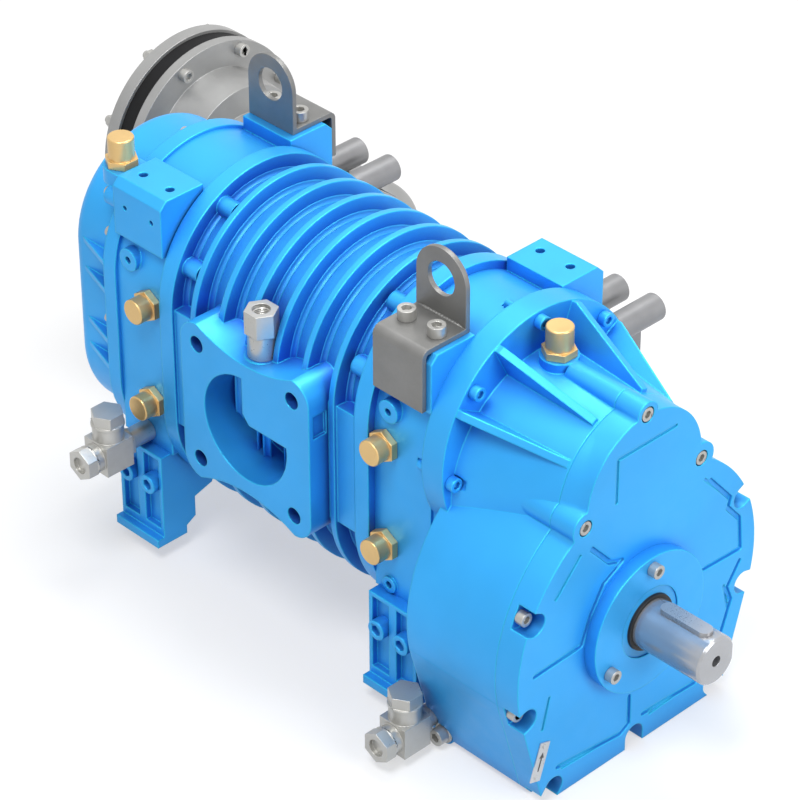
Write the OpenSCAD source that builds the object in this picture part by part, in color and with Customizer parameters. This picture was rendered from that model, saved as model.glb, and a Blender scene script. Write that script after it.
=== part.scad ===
// Twin-screw dry vacuum pump: ribbed rotor housing, two bearing housings, gear case
// with keyed drive shaft at the front and timing gear cover at the rear.
// Millimetres. X to the right, Y to the rear, Z up. Z = 0 is the plane the feet stand on.
// Y = 0 is the centre of the suction flange, X = 0 the plane through all rotor axes.

/* [Rotors] */
// Height of the upper (male) rotor axis above the feet
upper_z = 260; // [245:1:280]
// Distance between the two rotor axes
rotor_centres = 110; // [110:1:112]
// Generating circle of the male lobe and the female groove
lobe_circle = 9.5; // [8:0.25:10]
// Lobes on the male rotor
male_lobes = 4; // [4:1:4]
// Grooves in the female rotor
female_lobes = 6; // [6:1:6]
// Twist of the male rotor over its length, degrees
male_twist = 200; // [120:5:240]
// Inward offset of each rotor from the theoretical profile
rotor_gap = 0.5; // [0.4:0.05:0.8]
// Radial gap between rotor tips and housing bore
bore_gap = 0.6; // [0.4:0.05:1]
// End gap between rotor and bearing housing
end_gap = 0.4; // [0.35:0.05:1]

/* [Rotor housing] */
// Half length of the rotor housing
housing_half = 132; // [125:1:140]
// Outer radius of the housing wall about each rotor axis
wall_r = 93; // [88:1:96]
// Outer radius of ribs and end rings about each rotor axis
rib_r = 110; // [104:1:116]
// Thickness of an end ring
end_ring = 17; // [12:1:20]
// Number of ribs between the end rings
rib_count = 6; // [4:1:7]
// Distance from rib to rib
rib_pitch = 35; // [35:1:36]
// Rib thickness at the wall
rib_root = 11; // [8:0.5:14]
// Rib thickness at the edge
rib_tip = 6; // [4:0.5:8]
// Distance of the flat side panel from the middle plane
panel_x = 107; // [103:1:109]
// Height of the upper ledge of the side panel
panel_top = 264; // [255:1:275]
// Height of the lower ledge of the side panel
panel_bottom = 143; // [135:1:150]

/* [Suction flange] */
// Distance of the flange face from the middle plane
flange_x = 130; // [124:1:136]
// Pitch circle of the four flange holes
flange_pcd = 170; // [170:10:180]
// Radius of the rounded corner about each flange hole
flange_corner = 21; // [19:1:24]
// Diameter of a flange hole
flange_hole = 16; // [14:1:18]
// Depth of a flange hole
flange_hole_depth = 22; // [16:1:26]
// Depth of the concave waist in the upper and lower flange edge
flange_waist = 13.5; // [8:0.5:16]
// Port diameter
port_d = 105; // [98:1:108]
// Thickness of the web that closes one quarter of the port
port_web = 18; // [12:1:22]
// Depth of the port pocket from the flange face
port_depth = 50; // [40:1:56]
// Height of the lower edge of the closed quarter above the port centre
port_step = 9; // [4:1:14]
// Half width of the window from the port to the rotors
window_half = 38; // [28:1:40]
// Height of the window from the port to the rotors
window_height = 70; // [50:1:76]

/* [Bearing housings] */
// Distance of the side faces from the middle plane
side_x = 102; // [98:1:106]
// Length of the rear bearing housing
rear_length = 65; // [60:1:70]
// Length of the front bearing housing
front_length = 67; // [62:1:72]
// Height of the flat tops of the corner blocks
block_top = 361.5; // [356:0.5:366]
// Height of the lower edge of a corner block
block_bottom = 306; // [296:1:316]
// Distance of the inner edge of a corner block from the middle plane
block_inner = 52; // [46:1:62]
// Chamfer along the outer top edge of a corner block
block_chamfer = 7.3; // [4:0.1:10]
// Setback of a corner block from the rotor housing
block_setback = 2; // [1:0.5:4]
// Height of the ledge on the feet
ledge_z = 97; // [90:1:104]
// Distance between the two tapped holes in a corner block
block_hole_pitch = 35; // [30:1:38]
// Diameter of the tapped holes in a corner block
block_hole = 8.5; // [6.8:0.1:10.2]
// Depth of the tapped holes in a corner block
block_hole_depth = 20; // [14:1:24]
// Distance of the top holes from the middle plane
block_hole_x = 79; // [74:1:86]
// Height of the holes in the side of a corner block
block_side_hole_z = 337; // [330:1:344]
// Radius of the holes in the side of a corner block
block_side_hole_r = 2.5; // [2:0.25:3]
// Radius of the round tapped bosses on the side faces
side_boss_r = 11; // [9:0.5:13]
// Height of the upper side bosses
side_boss_z = 286; // [280:1:292]
// Height of the lower side boss
low_boss_z = 106; // [106:1:112]
// Radius of the lower side boss
low_boss_r = 8; // [6:0.5:8]
// Height of the side bosses above the side face
boss_rise = 2.5; // [1:0.5:4]
// Radius of the tapped holes in the side bosses
boss_hole_r = 3.5; // [2.5:0.25:4.5]
// Shift of the side bosses along the pump
boss_shift = 14; // [8:1:16]

/* [Feet] */
// Distance of the foot middle from the end of the rotor housing
foot_offset = 32.5; // [28:0.5:36]
// Length of a foot along the pump
foot_length = 58; // [50:1:62]
// Outer edge of the foot base
foot_base_x = 121.6; // [116:0.2:128]
// Outer face of the foot above its base
foot_face_x = 113.7; // [108:0.1:116]
// Inner edge of the foot base
foot_inner_x = 86.2; // [78:0.2:90]
// Height of the foot base ledge
foot_base_h = 8.7; // [6:0.1:12]
// Depth of the two pockets in the outer face
foot_pocket = 6; // [3:0.5:8]
// Width of the rib between the pockets
foot_rib = 9; // [6:0.5:14]
// Width of the frame round the pockets
foot_frame = 4; // [3:0.5:4]
// Height of the foot screws
foot_screw_z = 64; // [56:1:72]
// Diameter of the fixing hole in the foot base
foot_hole = 14; // [10.2:0.1:14]
// Depth of the fixing hole
foot_hole_depth = 30; // [20:1:40]
// Distance of the fixing holes from the middle plane
foot_hole_x = 98; // [94:1:104]

/* [Gear case] */
// Outer radius of the ring flange about the upper axis
ring_r = 113; // [108:1:118]
// Length of the ring flange
ring_length = 24.4; // [20:0.2:30]
// Outer radius of the lower lobe about the drive shaft
lobe_r = 146; // [138:1:150]
// Distance of the rear wall of the lower lobe behind which the case narrows
lobe_back = 16; // [12:1:20]
// Radius of the neck at the ring flange
neck_back_r = 102; // [94:1:108]
// Drop of the neck axis from its front end to the ring flange
neck_drop = 24; // [16:1:28]
// Radius of the neck at the front face
neck_front_r = 69; // [64:1:74]
// Distance from the ring flange front edge to the front face
case_length = 121.2; // [110:0.2:130]
// Thickness of the front cover
cover_thickness = 26; // [24:1:30]
// Radius of the shoulder ridges
shoulder_r = 15; // [12:0.5:18]
// Distance of the shoulder ridges from the middle plane
shoulder_x = 70; // [64:1:76]
// Height of the shoulder ridges
shoulder_z = 251; // [244:1:256]
// Radius of the top ridge
top_ridge_r = 12; // [10:0.5:15]
// Height of the flat underside; it lies below the feet
case_bottom = -16.5; // [-20:0.5:-10]
// Half width of the flat underside
case_bottom_half = 108; // [95:1:115]
// Thickness of the case walls
case_wall = 12; // [8:1:14]
// Thickness of a web
web_thickness = 7; // [5:0.5:10]
// Radius of the notches for the lower cover screws
notch_r = 11; // [9.5:0.5:12]
// Depth of the notches
notch_depth = 18; // [15:1:20]
// Depth of the ornament grooves in the front face
groove_depth = 1.6; // [1:0.1:2.5]
// Width of the ornament grooves
groove_width = 3; // [2:0.5:4]

/* [Timing cover] */
// Half width of the cover about the rotor axes
timing_r = 92; // [90:1:92]
// Half width of its flange
timing_flange_r = 105; // [100:1:107]
// Length of the cover
timing_length = 75; // [70:1:80]
// Thickness of its flange
timing_flange = 16; // [12:1:20]
// Wall thickness of the cover
timing_wall = 9; // [7:0.5:11]
// Radius of the rounded rear edge
timing_round = 14; // [8:1:18]
// Thickness of a gusset
gusset_thickness = 5; // [4:0.5:7]

/* [Drive] */
// Module of the drive gears
drive_module = 4; // [4:0.5:4]
// Teeth on the bull gear
bull_teeth = 52; // [52:1:52]
// Teeth on the pinion
pinion_teeth = 16; // [16:1:16]
// Module of the timing gears
timing_module = 5.5; // [5.5:0.5:5.5]
// Teeth on the male timing gear
male_teeth = 16; // [16:4:16]
// Teeth on the female timing gear
female_teeth = 24; // [24:6:24]
// Flank play of the gears along the pitch circle
backlash = 0.35; // [0.3:0.05:0.6]
// Width of the drive gears
drive_gear_width = 32; // [24:1:36]
// Width of the timing gears
timing_gear_width = 30; // [24:1:34]
// Diameter of the keyed shaft end
shaft_d = 46; // [42:1:48]
// Length of the shaft end in front of the seal cover
shaft_out = 74; // [60:1:82]
// Width of the key
key_width = 14; // [12:2:14]
// Height of the key
key_height = 9; // [8:1:9]
// Length of the key
key_length = 53.5; // [45:0.5:56]
// Depth of the keyway
keyway_depth = 5.5; // [5:0.1:6]
// Outer radius of the shaft seal cover
seal_cover_r = 67; // [62:1:70]
// Thickness of the shaft seal cover
seal_cover_thickness = 12.4; // [10:0.2:15]
// Outer radius of the shaft seal ring
seal_ring_r = 34; // [32:0.5:36]
// Radius of the circle of the seal cover screws
seal_screw_r = 56; // [54:0.5:59]

/* [Bearings] */
// Journal diameter at the rotor bearings
journal_d = 45; // [40:5:45]
// Outer diameter of the rotor bearings
bearing_d = 85; // [80:5:85]
// Width of the rotor bearings
bearing_width = 23; // [19:1:25]
// Distance of the rotor bearings from the rotor housing
bearing_offset = 13; // [11:1:15]
// Radial clearance of a journal in its bearing or seal
running_fit = 0.03; // [0.01:0.01:0.1]
// Radial clearance of a spigot in its bore
spigot_fit = 0.1; // [0.05:0.05:0.2]
// Journal diameter at the gears
gear_seat_d = 36; // [32:1:38]

/* [Fittings] */
// Diameter of the brass plug caps
plug_d = 24; // [20:0.5:26]
// Height of the side plugs
plug_h = 21; // [18:0.5:24]
// Height of the breathers
breather_h = 28; // [24:1:32]
// Width across flats of the brass hexagons
brass_hex = 27; // [24:1:30]
// Width across flats of the connector on the suction neck
connector_hex = 27; // [24:1:27]
// Height of the connector
connector_h = 46; // [42:1:56]
// Size of the square body of a tee fitting
tee_body = 31; // [28:1:34]
// Distance from the tee body centre to the end of the nut
tee_nut_reach = 35; // [30:1:38]
// Distance from the tee body centre to the top of the plug
tee_plug_reach = 43; // [38:1:46]
// Distance from the tee body centre to the housing
tee_root_reach = 47; // [40:1:50]
// Radius of the tee nipple
tee_nipple_r = 10; // [8:0.5:12]

/* [Lifting brackets] */
// Sheet thickness of the lifting brackets
bracket_sheet = 5; // [4:0.5:6]
// Width of a lifting bracket along the pump
bracket_width = 58; // [54:1:62]
// Radius of the lifting eye
eye_r = 15.5; // [14:0.5:17]
// Height of the eye centre above the block
eye_height = 41; // [36:1:44]
// Radius of the inside of the bend
bend_r = 3; // [2:0.5:5]
// Distance between the two bracket screws
bracket_screw_pitch = 35; // [32:1:38]
// Diameter of the bracket screws
bracket_screw = 10; // [10:1:10]

/* [Side brackets] */
// Radius of the tubes
tube_r = 13; // [11:0.5:14]
// Wall of the tubes
tube_wall = 4; // [3:0.5:5]
// Depth of the tube bores
tube_bore = 53; // [30:1:60]
// Distance of the inner tube ends from the middle plane
tube_start_x = 113.5; // [113:0.5:118]
// Distance of the tube ends from the middle plane
tube_end_x = 185; // [175:1:195]
// Height of the tubes
tube_z = 275; // [268:1:282]
// Distance between the two tubes of a bracket
tube_pitch = 43; // [40:1:46]
// Sheet thickness of the side brackets
side_sheet = 6; // [4:0.5:8]
// Distance of the sheet edge from the middle plane
side_sheet_x = 165; // [155:1:172]
// Lower edge of the front bracket sheets
front_sheet_z = 168; // [150:1:190]
// Lower edge of the rear bracket sheets
rear_sheet_z = 262; // [262:1:266]

/* [Discharge] */
// Distance of the discharge pipe axis from the middle plane
pipe_x = 179.5; // [172:0.5:186]
// Outer radius of the discharge pipe
pipe_r = 44.45; // [42:0.05:46]
// Wall thickness of the discharge pipe
pipe_wall = 5.5; // [4:0.5:7]
// Outer radius of the flange rings
disc_r = 103; // [98:1:108]
// Position of the front face of the front flange ring
disc_y = 385; // [380:1:392]
// Thickness of the front flange ring
disc_front = 11; // [9:1:14]
// Thickness of the rubber ring
rubber_thickness = 18; // [14:1:20]
// Thickness of the counter flange
disc_rear = 14; // [11:1:16]
// Pitch circle of the flange screws
disc_pcd = 188; // [180:2:190]
// Number of flange screws
disc_screws = 8; // [8:1:8]
// Radius of the neck where it meets the flange ring
collar_r = 76; // [72:0.5:80]
// Radius of the neck at its front end
collar_front_r = 72.5; // [68:0.5:75]
// Length of the neck
collar_length = 41; // [36:1:46]

/* [Screws] */
// Diameter of the cover screws
cover_screw = 8; // [8:1:8]
// Diameter of the timing cover screws
timing_screw = 6; // [6:1:6]
// Diameter of the seal cover screws
seal_screw = 8; // [8:1:8]
// Diameter of the foot screws
foot_screw = 12; // [10:1:12]
// Radial clearance of a screw in its hole
screw_fit = 0.25; // [0.1:0.05:0.5]
// Head diameter as a multiple of the thread
head_ratio = 1.5; // [1.4:0.05:1.6]
// Fixed part of the head diameter
head_extra = 1; // [0:0.5:2]
// Width of the hexagon socket as a share of the thread
socket_ratio = 0.8; // [0.7:0.05:0.85]

/* [Hidden] */
$fn = 96;

lower_z = upper_z - rotor_centres;
mid_z = upper_z - rotor_centres / 2;
drive_z = upper_z - drive_module * (bull_teeth + pinion_teeth) / 2;
foot_y = housing_half + foot_offset;
rear_y = housing_half + rear_length;
front_y = -(housing_half + front_length);
ring_y = front_y - ring_length;
face_y = ring_y - case_length;
split_y = face_y + cover_thickness;
disc_face_y = face_y - seal_cover_thickness;
shaft_end_y = disc_face_y - shaft_out;
male_pitch = rotor_centres * male_lobes / (male_lobes + female_lobes);
female_pitch = rotor_centres - male_pitch;
root_circle = male_pitch / male_lobes - lobe_circle;
male_tip = male_pitch + 2 * lobe_circle;
female_tip = female_pitch + 2 * root_circle;
rotor_half = housing_half - end_gap;
hole_half = flange_pcd / 2 * cos(45);
bearing_in = housing_half + bearing_offset;
bearing_out = bearing_in + bearing_width;
timing_y = rear_y + timing_length;

// Shared shapes.

module along_y(y0, y1) {
    translate([0, y1, 0]) rotate([90, 0, 0]) linear_extrude(y1 - y0) children();
}

module along_x(x0, x1) {
    translate([x0, 0, 0]) rotate([90, 0, 90]) linear_extrude(x1 - x0) children();
}

module rod_y(r, y0, y1, x, z) {
    translate([x, y1, z]) rotate([90, 0, 0]) cylinder(r = r, h = y1 - y0);
}

module rod_x(r, x0, x1, y, z) {
    translate([x0, y, z]) rotate([0, 90, 0]) cylinder(r = r, h = x1 - x0);
}

module rod_z(r, z0, z1, x, y) {
    translate([x, y, z0]) cylinder(r = r, h = z1 - z0);
}

module cone_y(r_front, r_back, y0, y1, x, z) {
    translate([x, y1, z]) rotate([90, 0, 0]) cylinder(r1 = r_back, r2 = r_front, h = y1 - y0);
}

module box(x0, x1, y0, y1, z0, z1) {
    translate([x0, y0, z0]) cube([x1 - x0, y1 - y0, z1 - z0]);
}

module to_front() rotate([90, 0, 0]) children();
module to_rear() rotate([-90, 0, 0]) children();
module to_left() rotate([0, -90, 0]) children();
module to_right() rotate([0, 90, 0]) children();

module two_lobe(r) {
    translate([0, upper_z]) circle(r = r);
    translate([0, lower_z]) circle(r = r);
    translate([-r, lower_z]) square([2 * r, rotor_centres]);
}

function head_d(d) = head_ratio * d + head_extra;

module hexagon(af, h) {
    cylinder(r = af / 2 / cos(30), h = h, $fn = 6);
}

// Socket head cap screw: the head stands on the plane z = 0, the shank goes down.
module cap_screw(d, length) {
    difference() {
        union() {
            cylinder(r = head_d(d) / 2, h = d);
            translate([0, 0, -length]) cylinder(r = d / 2, h = length + d / 2);
        }
        translate([0, 0, d / 2]) hexagon(socket_ratio * d, d);
    }
}

module screw_hole(d, length) {
    translate([0, 0, -length]) cylinder(r = d / 2 + screw_fit, h = length + head_extra);
}

// Rotor housing.

rib_facets = 60;
ring_boss_r = 9;
ring_boss_length = 18;
ring_boss_angles = [25, 62];
ring_boss_circle = wall_r + 3;
flange_slot = 6;
flange_slot_low = 28;
flange_slot_high = 51;
port_step_width = 8;

module rib(y) {
    section = [[wall_r - rib_tip, -rib_root / 2], [rib_r, -rib_tip / 2],
        [rib_r, rib_tip / 2], [wall_r - rib_tip, rib_root / 2]];
    for (z = [upper_z, lower_z])
        translate([0, y, z]) rotate([90, 0, 0]) rotate_extrude($fn = rib_facets) polygon(section);
    for (m = [0, 1])
        mirror([m, 0, 0]) translate([0, y, lower_z]) linear_extrude(rotor_centres) polygon(section);
}

module flange_outline() {
    chord = hole_half;
    waist_r = (chord * chord + flange_waist * flange_waist) / (2 * flange_waist);
    edge = hole_half + flange_corner;
    translate([0, mid_z]) difference() {
        union() {
            for (a = [-1, 1], b = [-1, 1])
                translate([a * hole_half, b * hole_half]) circle(r = flange_corner);
            square([2 * edge, 2 * hole_half], center = true);
            square([2 * hole_half, 2 * edge], center = true);
        }
        for (b = [-1, 1])
            translate([0, b * (edge - flange_waist + waist_r)]) circle(r = waist_r);
    }
}

module port_opening() {
    difference() {
        translate([0, mid_z]) circle(d = port_d);
        translate([0, mid_z + port_step])
            polygon([[-port_d, -2], [-port_d, port_d], [3, port_d],
                [3, port_step_width - 1], [3 - port_step_width, -2]]);
    }
}

connector_x = -107.5;
connector_y = 0;
connector_stud = 12;
connector_z = mid_z + hole_half + flange_corner - flange_waist + 1;

module rotor_housing() {
    ring_in = housing_half - end_ring;
    color([0.16, 0.5, 0.9]) difference() {
        union() {
            along_y(-housing_half, housing_half) two_lobe(wall_r);
            along_y(-housing_half, -ring_in) two_lobe(rib_r);
            along_y(ring_in, housing_half) two_lobe(rib_r);
            for (i = [0 : rib_count - 1]) rib((i - (rib_count - 1) / 2) * rib_pitch);
            box(-panel_x, -wall_r / 2, -housing_half, housing_half, panel_bottom, panel_top);
            along_x(-flange_x, -wall_r / 2) flange_outline();
            rod_z(connector_hex / 2 + 2, mid_z, connector_z, connector_x, connector_y);
            for (side = [-1, 1], a = ring_boss_angles)
                rod_y(ring_boss_r, side > 0 ? ring_in - ring_boss_length : -ring_in,
                    side > 0 ? ring_in : ring_boss_length - ring_in,
                    -ring_boss_circle * cos(a), upper_z + ring_boss_circle * sin(a));
        }
        rod_y(male_tip + bore_gap, -housing_half - 1, housing_half + 1, 0, upper_z);
        rod_y(female_tip + bore_gap, -housing_half - 1, housing_half + 1, 0, lower_z);
        along_x(-flange_x - 1, port_web - flange_x) port_opening();
        rod_x(port_d / 2, port_web - flange_x - 0.01, port_depth - flange_x, 0, mid_z);
        box(port_depth - flange_x - 1, -rotor_centres / 4, -window_half, window_half,
            mid_z - window_height / 2, mid_z + window_height / 2);
        for (a = [-1, 1], b = [-1, 1])
            rod_x(flange_hole / 2, -flange_x - 1, flange_hole_depth - flange_x,
                a * hole_half, mid_z + b * hole_half);
        for (a = [-1, 1])
            box(-flange_x + flange_slot - 1, -panel_x - flange_slot / 2,
                a * (hole_half + flange_corner) - flange_slot / 2,
                a * (hole_half + flange_corner) + flange_slot / 2,
                mid_z + flange_slot_low, mid_z + flange_slot_high);
        rod_z(8, connector_z - connector_stud - 2, connector_z + 1, connector_x, connector_y);
    }
}

// Bearing housings.

module housing_outline() {
    translate([0, upper_z]) circle(r = side_x);
    translate([0, lower_z]) circle(r = side_x);
    translate([-side_x, ledge_z]) square([2 * side_x, upper_z - ledge_z]);
}

module block_outline() {
    for (m = [0, 1]) mirror([m, 0])
        polygon([[block_inner, upper_z], [block_inner, block_top],
            [side_x - block_chamfer, block_top], [side_x, block_top - block_chamfer],
            [side_x, block_bottom], [side_x - 16, block_bottom]]);
}

// Places of the bracket screws: front left block and rear right block.
module bracket_screw_places(side) {
    for (k = [-1, 1])
        translate([side * block_hole_x,
            side > 0 ? foot_y + rear_bracket_shift + k * bracket_screw_pitch / 2
                : -foot_y + k * bracket_screw_pitch / 2,
            block_top + bracket_sheet]) children();
}

// Tapped holes of the corner blocks, side = 1 rear, -1 front.
module block_holes(side) {
    for (k = [-1, 1])
        rod_z(block_hole / 2, block_top - block_hole_depth, block_top + 1,
            -side * block_hole_x, side * foot_y + k * block_hole_pitch / 2);
    bracket_screw_places(side) screw_hole(bracket_screw, bracket_screw_length + 2);
    for (k = [-1, 1])
        rod_x(block_side_hole_r, -side_x - 1, -side_x + block_side_hole_depth,
            side * foot_y + k * block_hole_pitch / 2, block_side_hole_z);
}

// Round bosses with a tapped hole on the left side face.
module side_bosses(side) {
    rod_x(side_boss_r, -side_x - boss_rise, -side_x / 2, side * foot_y + boss_shift, side_boss_z);
    if (side < 0)
        rod_x(low_boss_r, -side_x - boss_rise, -side_x / 2, side * foot_y + boss_shift, low_boss_z);
}

module side_boss_holes(side) {
    rod_x(boss_hole_r, -side_x - 2 * boss_rise, -side_x + 10, side * foot_y + boss_shift,
        side_boss_z);
    if (side < 0)
        rod_x(boss_hole_r, -side_x - 2 * boss_rise, -side_x + 10, side * foot_y + boss_shift,
            low_boss_z);
}

rear_plug_y = foot_y - 11;
front_plug_y = 18.5 - foot_y;
plug_upper_z = 250.5;
plug_lower_z = 147.5;
plug_stud_r = 7;
plug_stud = 12;
plug_hex_h = 7;
breather_stud = 14;

module plug_holes(side) {
    for (z = [plug_upper_z, plug_lower_z])
        rod_x(plug_stud_r + screw_fit, -side_x - 1, -side_x + plug_stud + 2,
            side > 0 ? rear_plug_y : front_plug_y, z);
}

seal_wall = 8;
seal_r = journal_d / 2 + seal_wall;

module journal_bores(side) {
    for (z = [upper_z, lower_z]) {
        rod_y(seal_r, side > 0 ? housing_half - 1 : -bearing_in,
            side > 0 ? bearing_in : 1 - housing_half, 0, z);
        rod_y(bearing_d / 2, side > 0 ? bearing_in : front_y - 1,
            side > 0 ? rear_y + 1 : -bearing_in, 0, z);
    }
}

pocket_mid = foot_length / 4 + foot_rib / 4 - foot_frame / 2;
pocket_half = foot_length / 4 - foot_rib / 4 - foot_frame / 2;

module foot_screw_holes(side) {
    for (m = [0, 1], k = [-1, 1])
        mirror([m, 0, 0]) translate([-foot_face_x + foot_pocket,
            side * foot_y + k * pocket_mid, foot_screw_z])
            to_left() screw_hole(foot_screw, foot_screw_length);
}

block_side_hole_depth = 12;
foot_screw_length = 70;
carrier_r = 58;
carrier_depth = 20;
breather_boss_r = 17;
rear_breather_x = -76;
rear_breather_y = rear_y + breather_boss_r + 0.5;
rear_breather_z = 358;
breather_shelf = 15;
bracket_screw_length = 20;
rear_bracket_shift = 4;

module front_bearing_housing() {
    color([0.16, 0.5, 0.9]) difference() {
        union() {
            along_y(front_y, -housing_half) housing_outline();
            along_y(front_y, -housing_half - block_setback) block_outline();
            side_bosses(-1);
        }
        journal_bores(-1);
        rod_y(carrier_r + spigot_fit, front_y - 1, front_y + carrier_depth, 0, drive_z);
        block_holes(-1);
        side_boss_holes(-1);
        plug_holes(-1);
        foot_screw_holes(-1);
        flange_thread_holes();
    }
}

port_half = 24;
port_lift = 18;
port_reach = 42;

module discharge_port() {
    for (b = [-1, 1]) translate([foot_y, mid_z + b * port_lift]) circle(r = port_half);
    translate([foot_y - port_half, mid_z - port_lift]) square([2 * port_half, 2 * port_lift]);
}

module rear_bearing_housing() {
    color([0.16, 0.5, 0.9]) difference() {
        union() {
            along_y(housing_half, rear_y) housing_outline();
            along_y(housing_half + block_setback, rear_y) block_outline();
            side_bosses(1);
        }
        journal_bores(1);
        along_x(side_x - port_reach, side_x + 1) discharge_port();
        box(port_reach / 2, side_x - port_reach + 1, housing_half - 1, foot_y,
            mid_z - port_lift, mid_z + port_lift);
        block_holes(1);
        side_boss_holes(1);
        plug_holes(1);
        foot_screw_holes(1);
        timing_screws() screw_hole(timing_screw, timing_screw_length + 2);
        elbow_screw_places() screw_hole(elbow_screw, elbow_screw_length);
        rod_x(tee_nipple_r - 2, -side_x - 1, -side_x + 14, tee_rear_y, tee_rear_z);
    }
}

// Feet.

module foot(side_m, side) {
    y0 = side * foot_y - foot_length / 2;
    y1 = side * foot_y + foot_length / 2;
    color([0.16, 0.5, 0.9]) mirror([side_m, 0, 0]) difference() {
        along_y(y0, y1)
            polygon([[-foot_base_x, 0], [-foot_inner_x, 0], [-foot_inner_x, foot_base_h],
                [-foot_inner_x + 11, foot_base_h + 6], [-foot_inner_x + 11, 36],
                [-54, 42], [-40, 80], [-60, ledge_z], [-foot_face_x, ledge_z],
                [-foot_face_x, foot_base_h], [-foot_base_x, foot_base_h]]);
        rod_y(side_x, y0 - 1, y1 + 1, 0, lower_z);
        for (k = [-1, 1])
            box(-foot_face_x - 1, -foot_face_x + foot_pocket,
                side * foot_y + k * pocket_mid - pocket_half,
                side * foot_y + k * pocket_mid + pocket_half,
                foot_base_h + 2 * foot_frame, ledge_z - foot_frame);
        for (k = [-1, 1])
            translate([-foot_face_x + foot_pocket,
                side * foot_y + k * pocket_mid, foot_screw_z])
                to_left() screw_hole(foot_screw, foot_screw_length);
        rod_z(foot_hole / 2, -1, foot_hole_depth, -foot_hole_x, side * foot_y);
    }
}

module front_left_foot() foot(0, -1);
module front_right_foot() foot(1, -1);
module rear_left_foot() foot(0, 1);
module rear_right_foot() foot(1, 1);

module foot_screws() {
    color([0.16, 0.5, 0.9]) for (m = [0, 1], side = [-1, 1], k = [-1, 1])
        mirror([m, 0, 0]) translate([-foot_face_x + foot_pocket,
            side * foot_y + k * pocket_mid, foot_screw_z])
            to_left() cap_screw(foot_screw, foot_screw_length - 4);
}

// Gear case.

module gear_outline() {
    intersection() {
        union() {
            translate([0, drive_z]) circle(r = lobe_r);
            polygon([[-lobe_r + 3, drive_z - 30], [-case_bottom_half - 6, case_bottom + 7],
                [-case_bottom_half, case_bottom], [case_bottom_half, case_bottom],
                [case_bottom_half + 6, case_bottom + 7], [lobe_r - 3, drive_z - 30]]);
            for (m = [-1, 1])
                translate([m * shoulder_x, shoulder_z]) circle(r = shoulder_r);
            translate([0, upper_z]) circle(r = neck_front_r);
            translate([0, upper_z + neck_front_r]) circle(r = top_ridge_r);
        }
        translate([-lobe_r - 10, case_bottom]) square([2 * lobe_r + 20, 2 * lobe_r + 100]);
    }
}

module carrier_outline(r) {
    translate([0, upper_z]) circle(r = r);
    translate([0, drive_z]) circle(r = r);
    translate([-r, drive_z]) square([2 * r, upper_z - drive_z]);
}

module case_flange_outline() {
    translate([0, upper_z]) circle(r = ring_r);
    translate([0, lower_z]) circle(r = side_x - 2);
    translate([2 - side_x, lower_z]) square([2 * side_x - 4, rotor_centres]);
}

// A web stands on the neck and runs from the ring flange to the front.
module web(angle, y_end) {
    translate([0, 0, upper_z]) rotate([0, -angle, 0])
        linear_extrude(web_thickness, center = true)
            polygon([[neck_front_r - 3, ring_y + 1], [ring_r - 1, ring_y + 1],
                [ring_r - 1, ring_y - 5], [neck_front_r + 4, y_end], [neck_front_r - 3, y_end]]);
}

// Conical neck with a falling axis, cut off square at both ends.
module neck(y0, y1) {
    tilt = atan2(neck_drop, case_length);
    slope = (neck_back_r - neck_front_r) / case_length;
    reach = 30;
    intersection() {
        translate([0, face_y, upper_z]) rotate([-90 - tilt, 0, 0])
            translate([0, 0, -reach]) cylinder(r1 = neck_front_r - slope * reach,
                r2 = neck_back_r + slope * reach, h = case_length + 2 * reach);
        box(-ring_r, ring_r, y0, y1, case_bottom, block_top);
    }
}

breather_y = ring_y - 22;
breather_z = upper_z + neck_front_r + 12;

module gear_case() {
    lobe_y = front_y - lobe_back;
    color([0.16, 0.5, 0.9]) difference() {
        union() {
            along_y(ring_y, front_y) case_flange_outline();
            along_y(split_y, lobe_y) intersection() {
                gear_outline();
                translate([-2 * lobe_r, case_bottom])
                    square([4 * lobe_r, drive_z + lobe_r - case_bottom]);
            }
            neck(split_y, ring_y + 1);
            for (m = [-1, 1]) rod_y(shoulder_r, split_y, ring_y + 1, m * shoulder_x, shoulder_z);
            rod_y(top_ridge_r, split_y, breather_y - 16.5, 0, upper_z + neck_front_r);
            rod_z(breather_boss_r, upper_z + neck_front_r - 25, breather_z, 0, breather_y);
            for (a = web_angles) web(a, split_y + 2);
            drain_boss();
            side_lug();
        }
        along_y(split_y - 1, front_y + 1) carrier_outline(carrier_r + 4);
        along_y(split_y - 1, lobe_y - case_wall) intersection() {
            translate([0, drive_z]) circle(r = lobe_r - case_wall);
            translate([-2 * lobe_r, case_bottom + case_wall]) square(4 * lobe_r);
        }
        cover_screw_places() screw_hole(cover_screw, cover_screw_length);
        ring_screw_places() screw_hole(cover_screw, ring_screw_length);
        ring_screw_places() cylinder(r = head_d(cover_screw) / 2 + 1, h = 1.5 * cover_screw);
        rod_z(plug_stud_r, breather_z - breather_stud - 4, breather_z + 1, 0, breather_y);
        rod_x(tee_nipple_r - 2, -panel_x - 4, 14 - panel_x, tee_front_y, tee_front_z);
        rod_x(tee_nipple_r + tee_relief, -lobe_r, -panel_x, tee_front_y, tee_front_z);
        rod_x(lug_washer_r + tee_relief, -lobe_r, -lug_x, lug_y, lug_z);
        translate([-lug_x, lug_y, lug_z]) to_left() screw_hole(lug_screw, 24);
    }
}

ring_screw_angles = [43.5, 91, 138, 184.5];
ring_screw_r = ring_r - 9;
web_angles = [30.6, 68.6, 117, 149.4];
cover_screw_length = 40;
ring_screw_length = 40;
lug_x = 114;
lug_y = front_y - 30;
lug_z = -5;
lug_r = 11.5;
lug_screw = 10;
lug_washer_r = 9.7;

module drain_boss() {
    box(-panel_x, -70, ring_y - 8, front_y - 4, case_bottom, tee_front_z + 20);
}

module side_lug() {
    rod_x(lug_r, -lug_x, -80, lug_y, lug_z);
}

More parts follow.
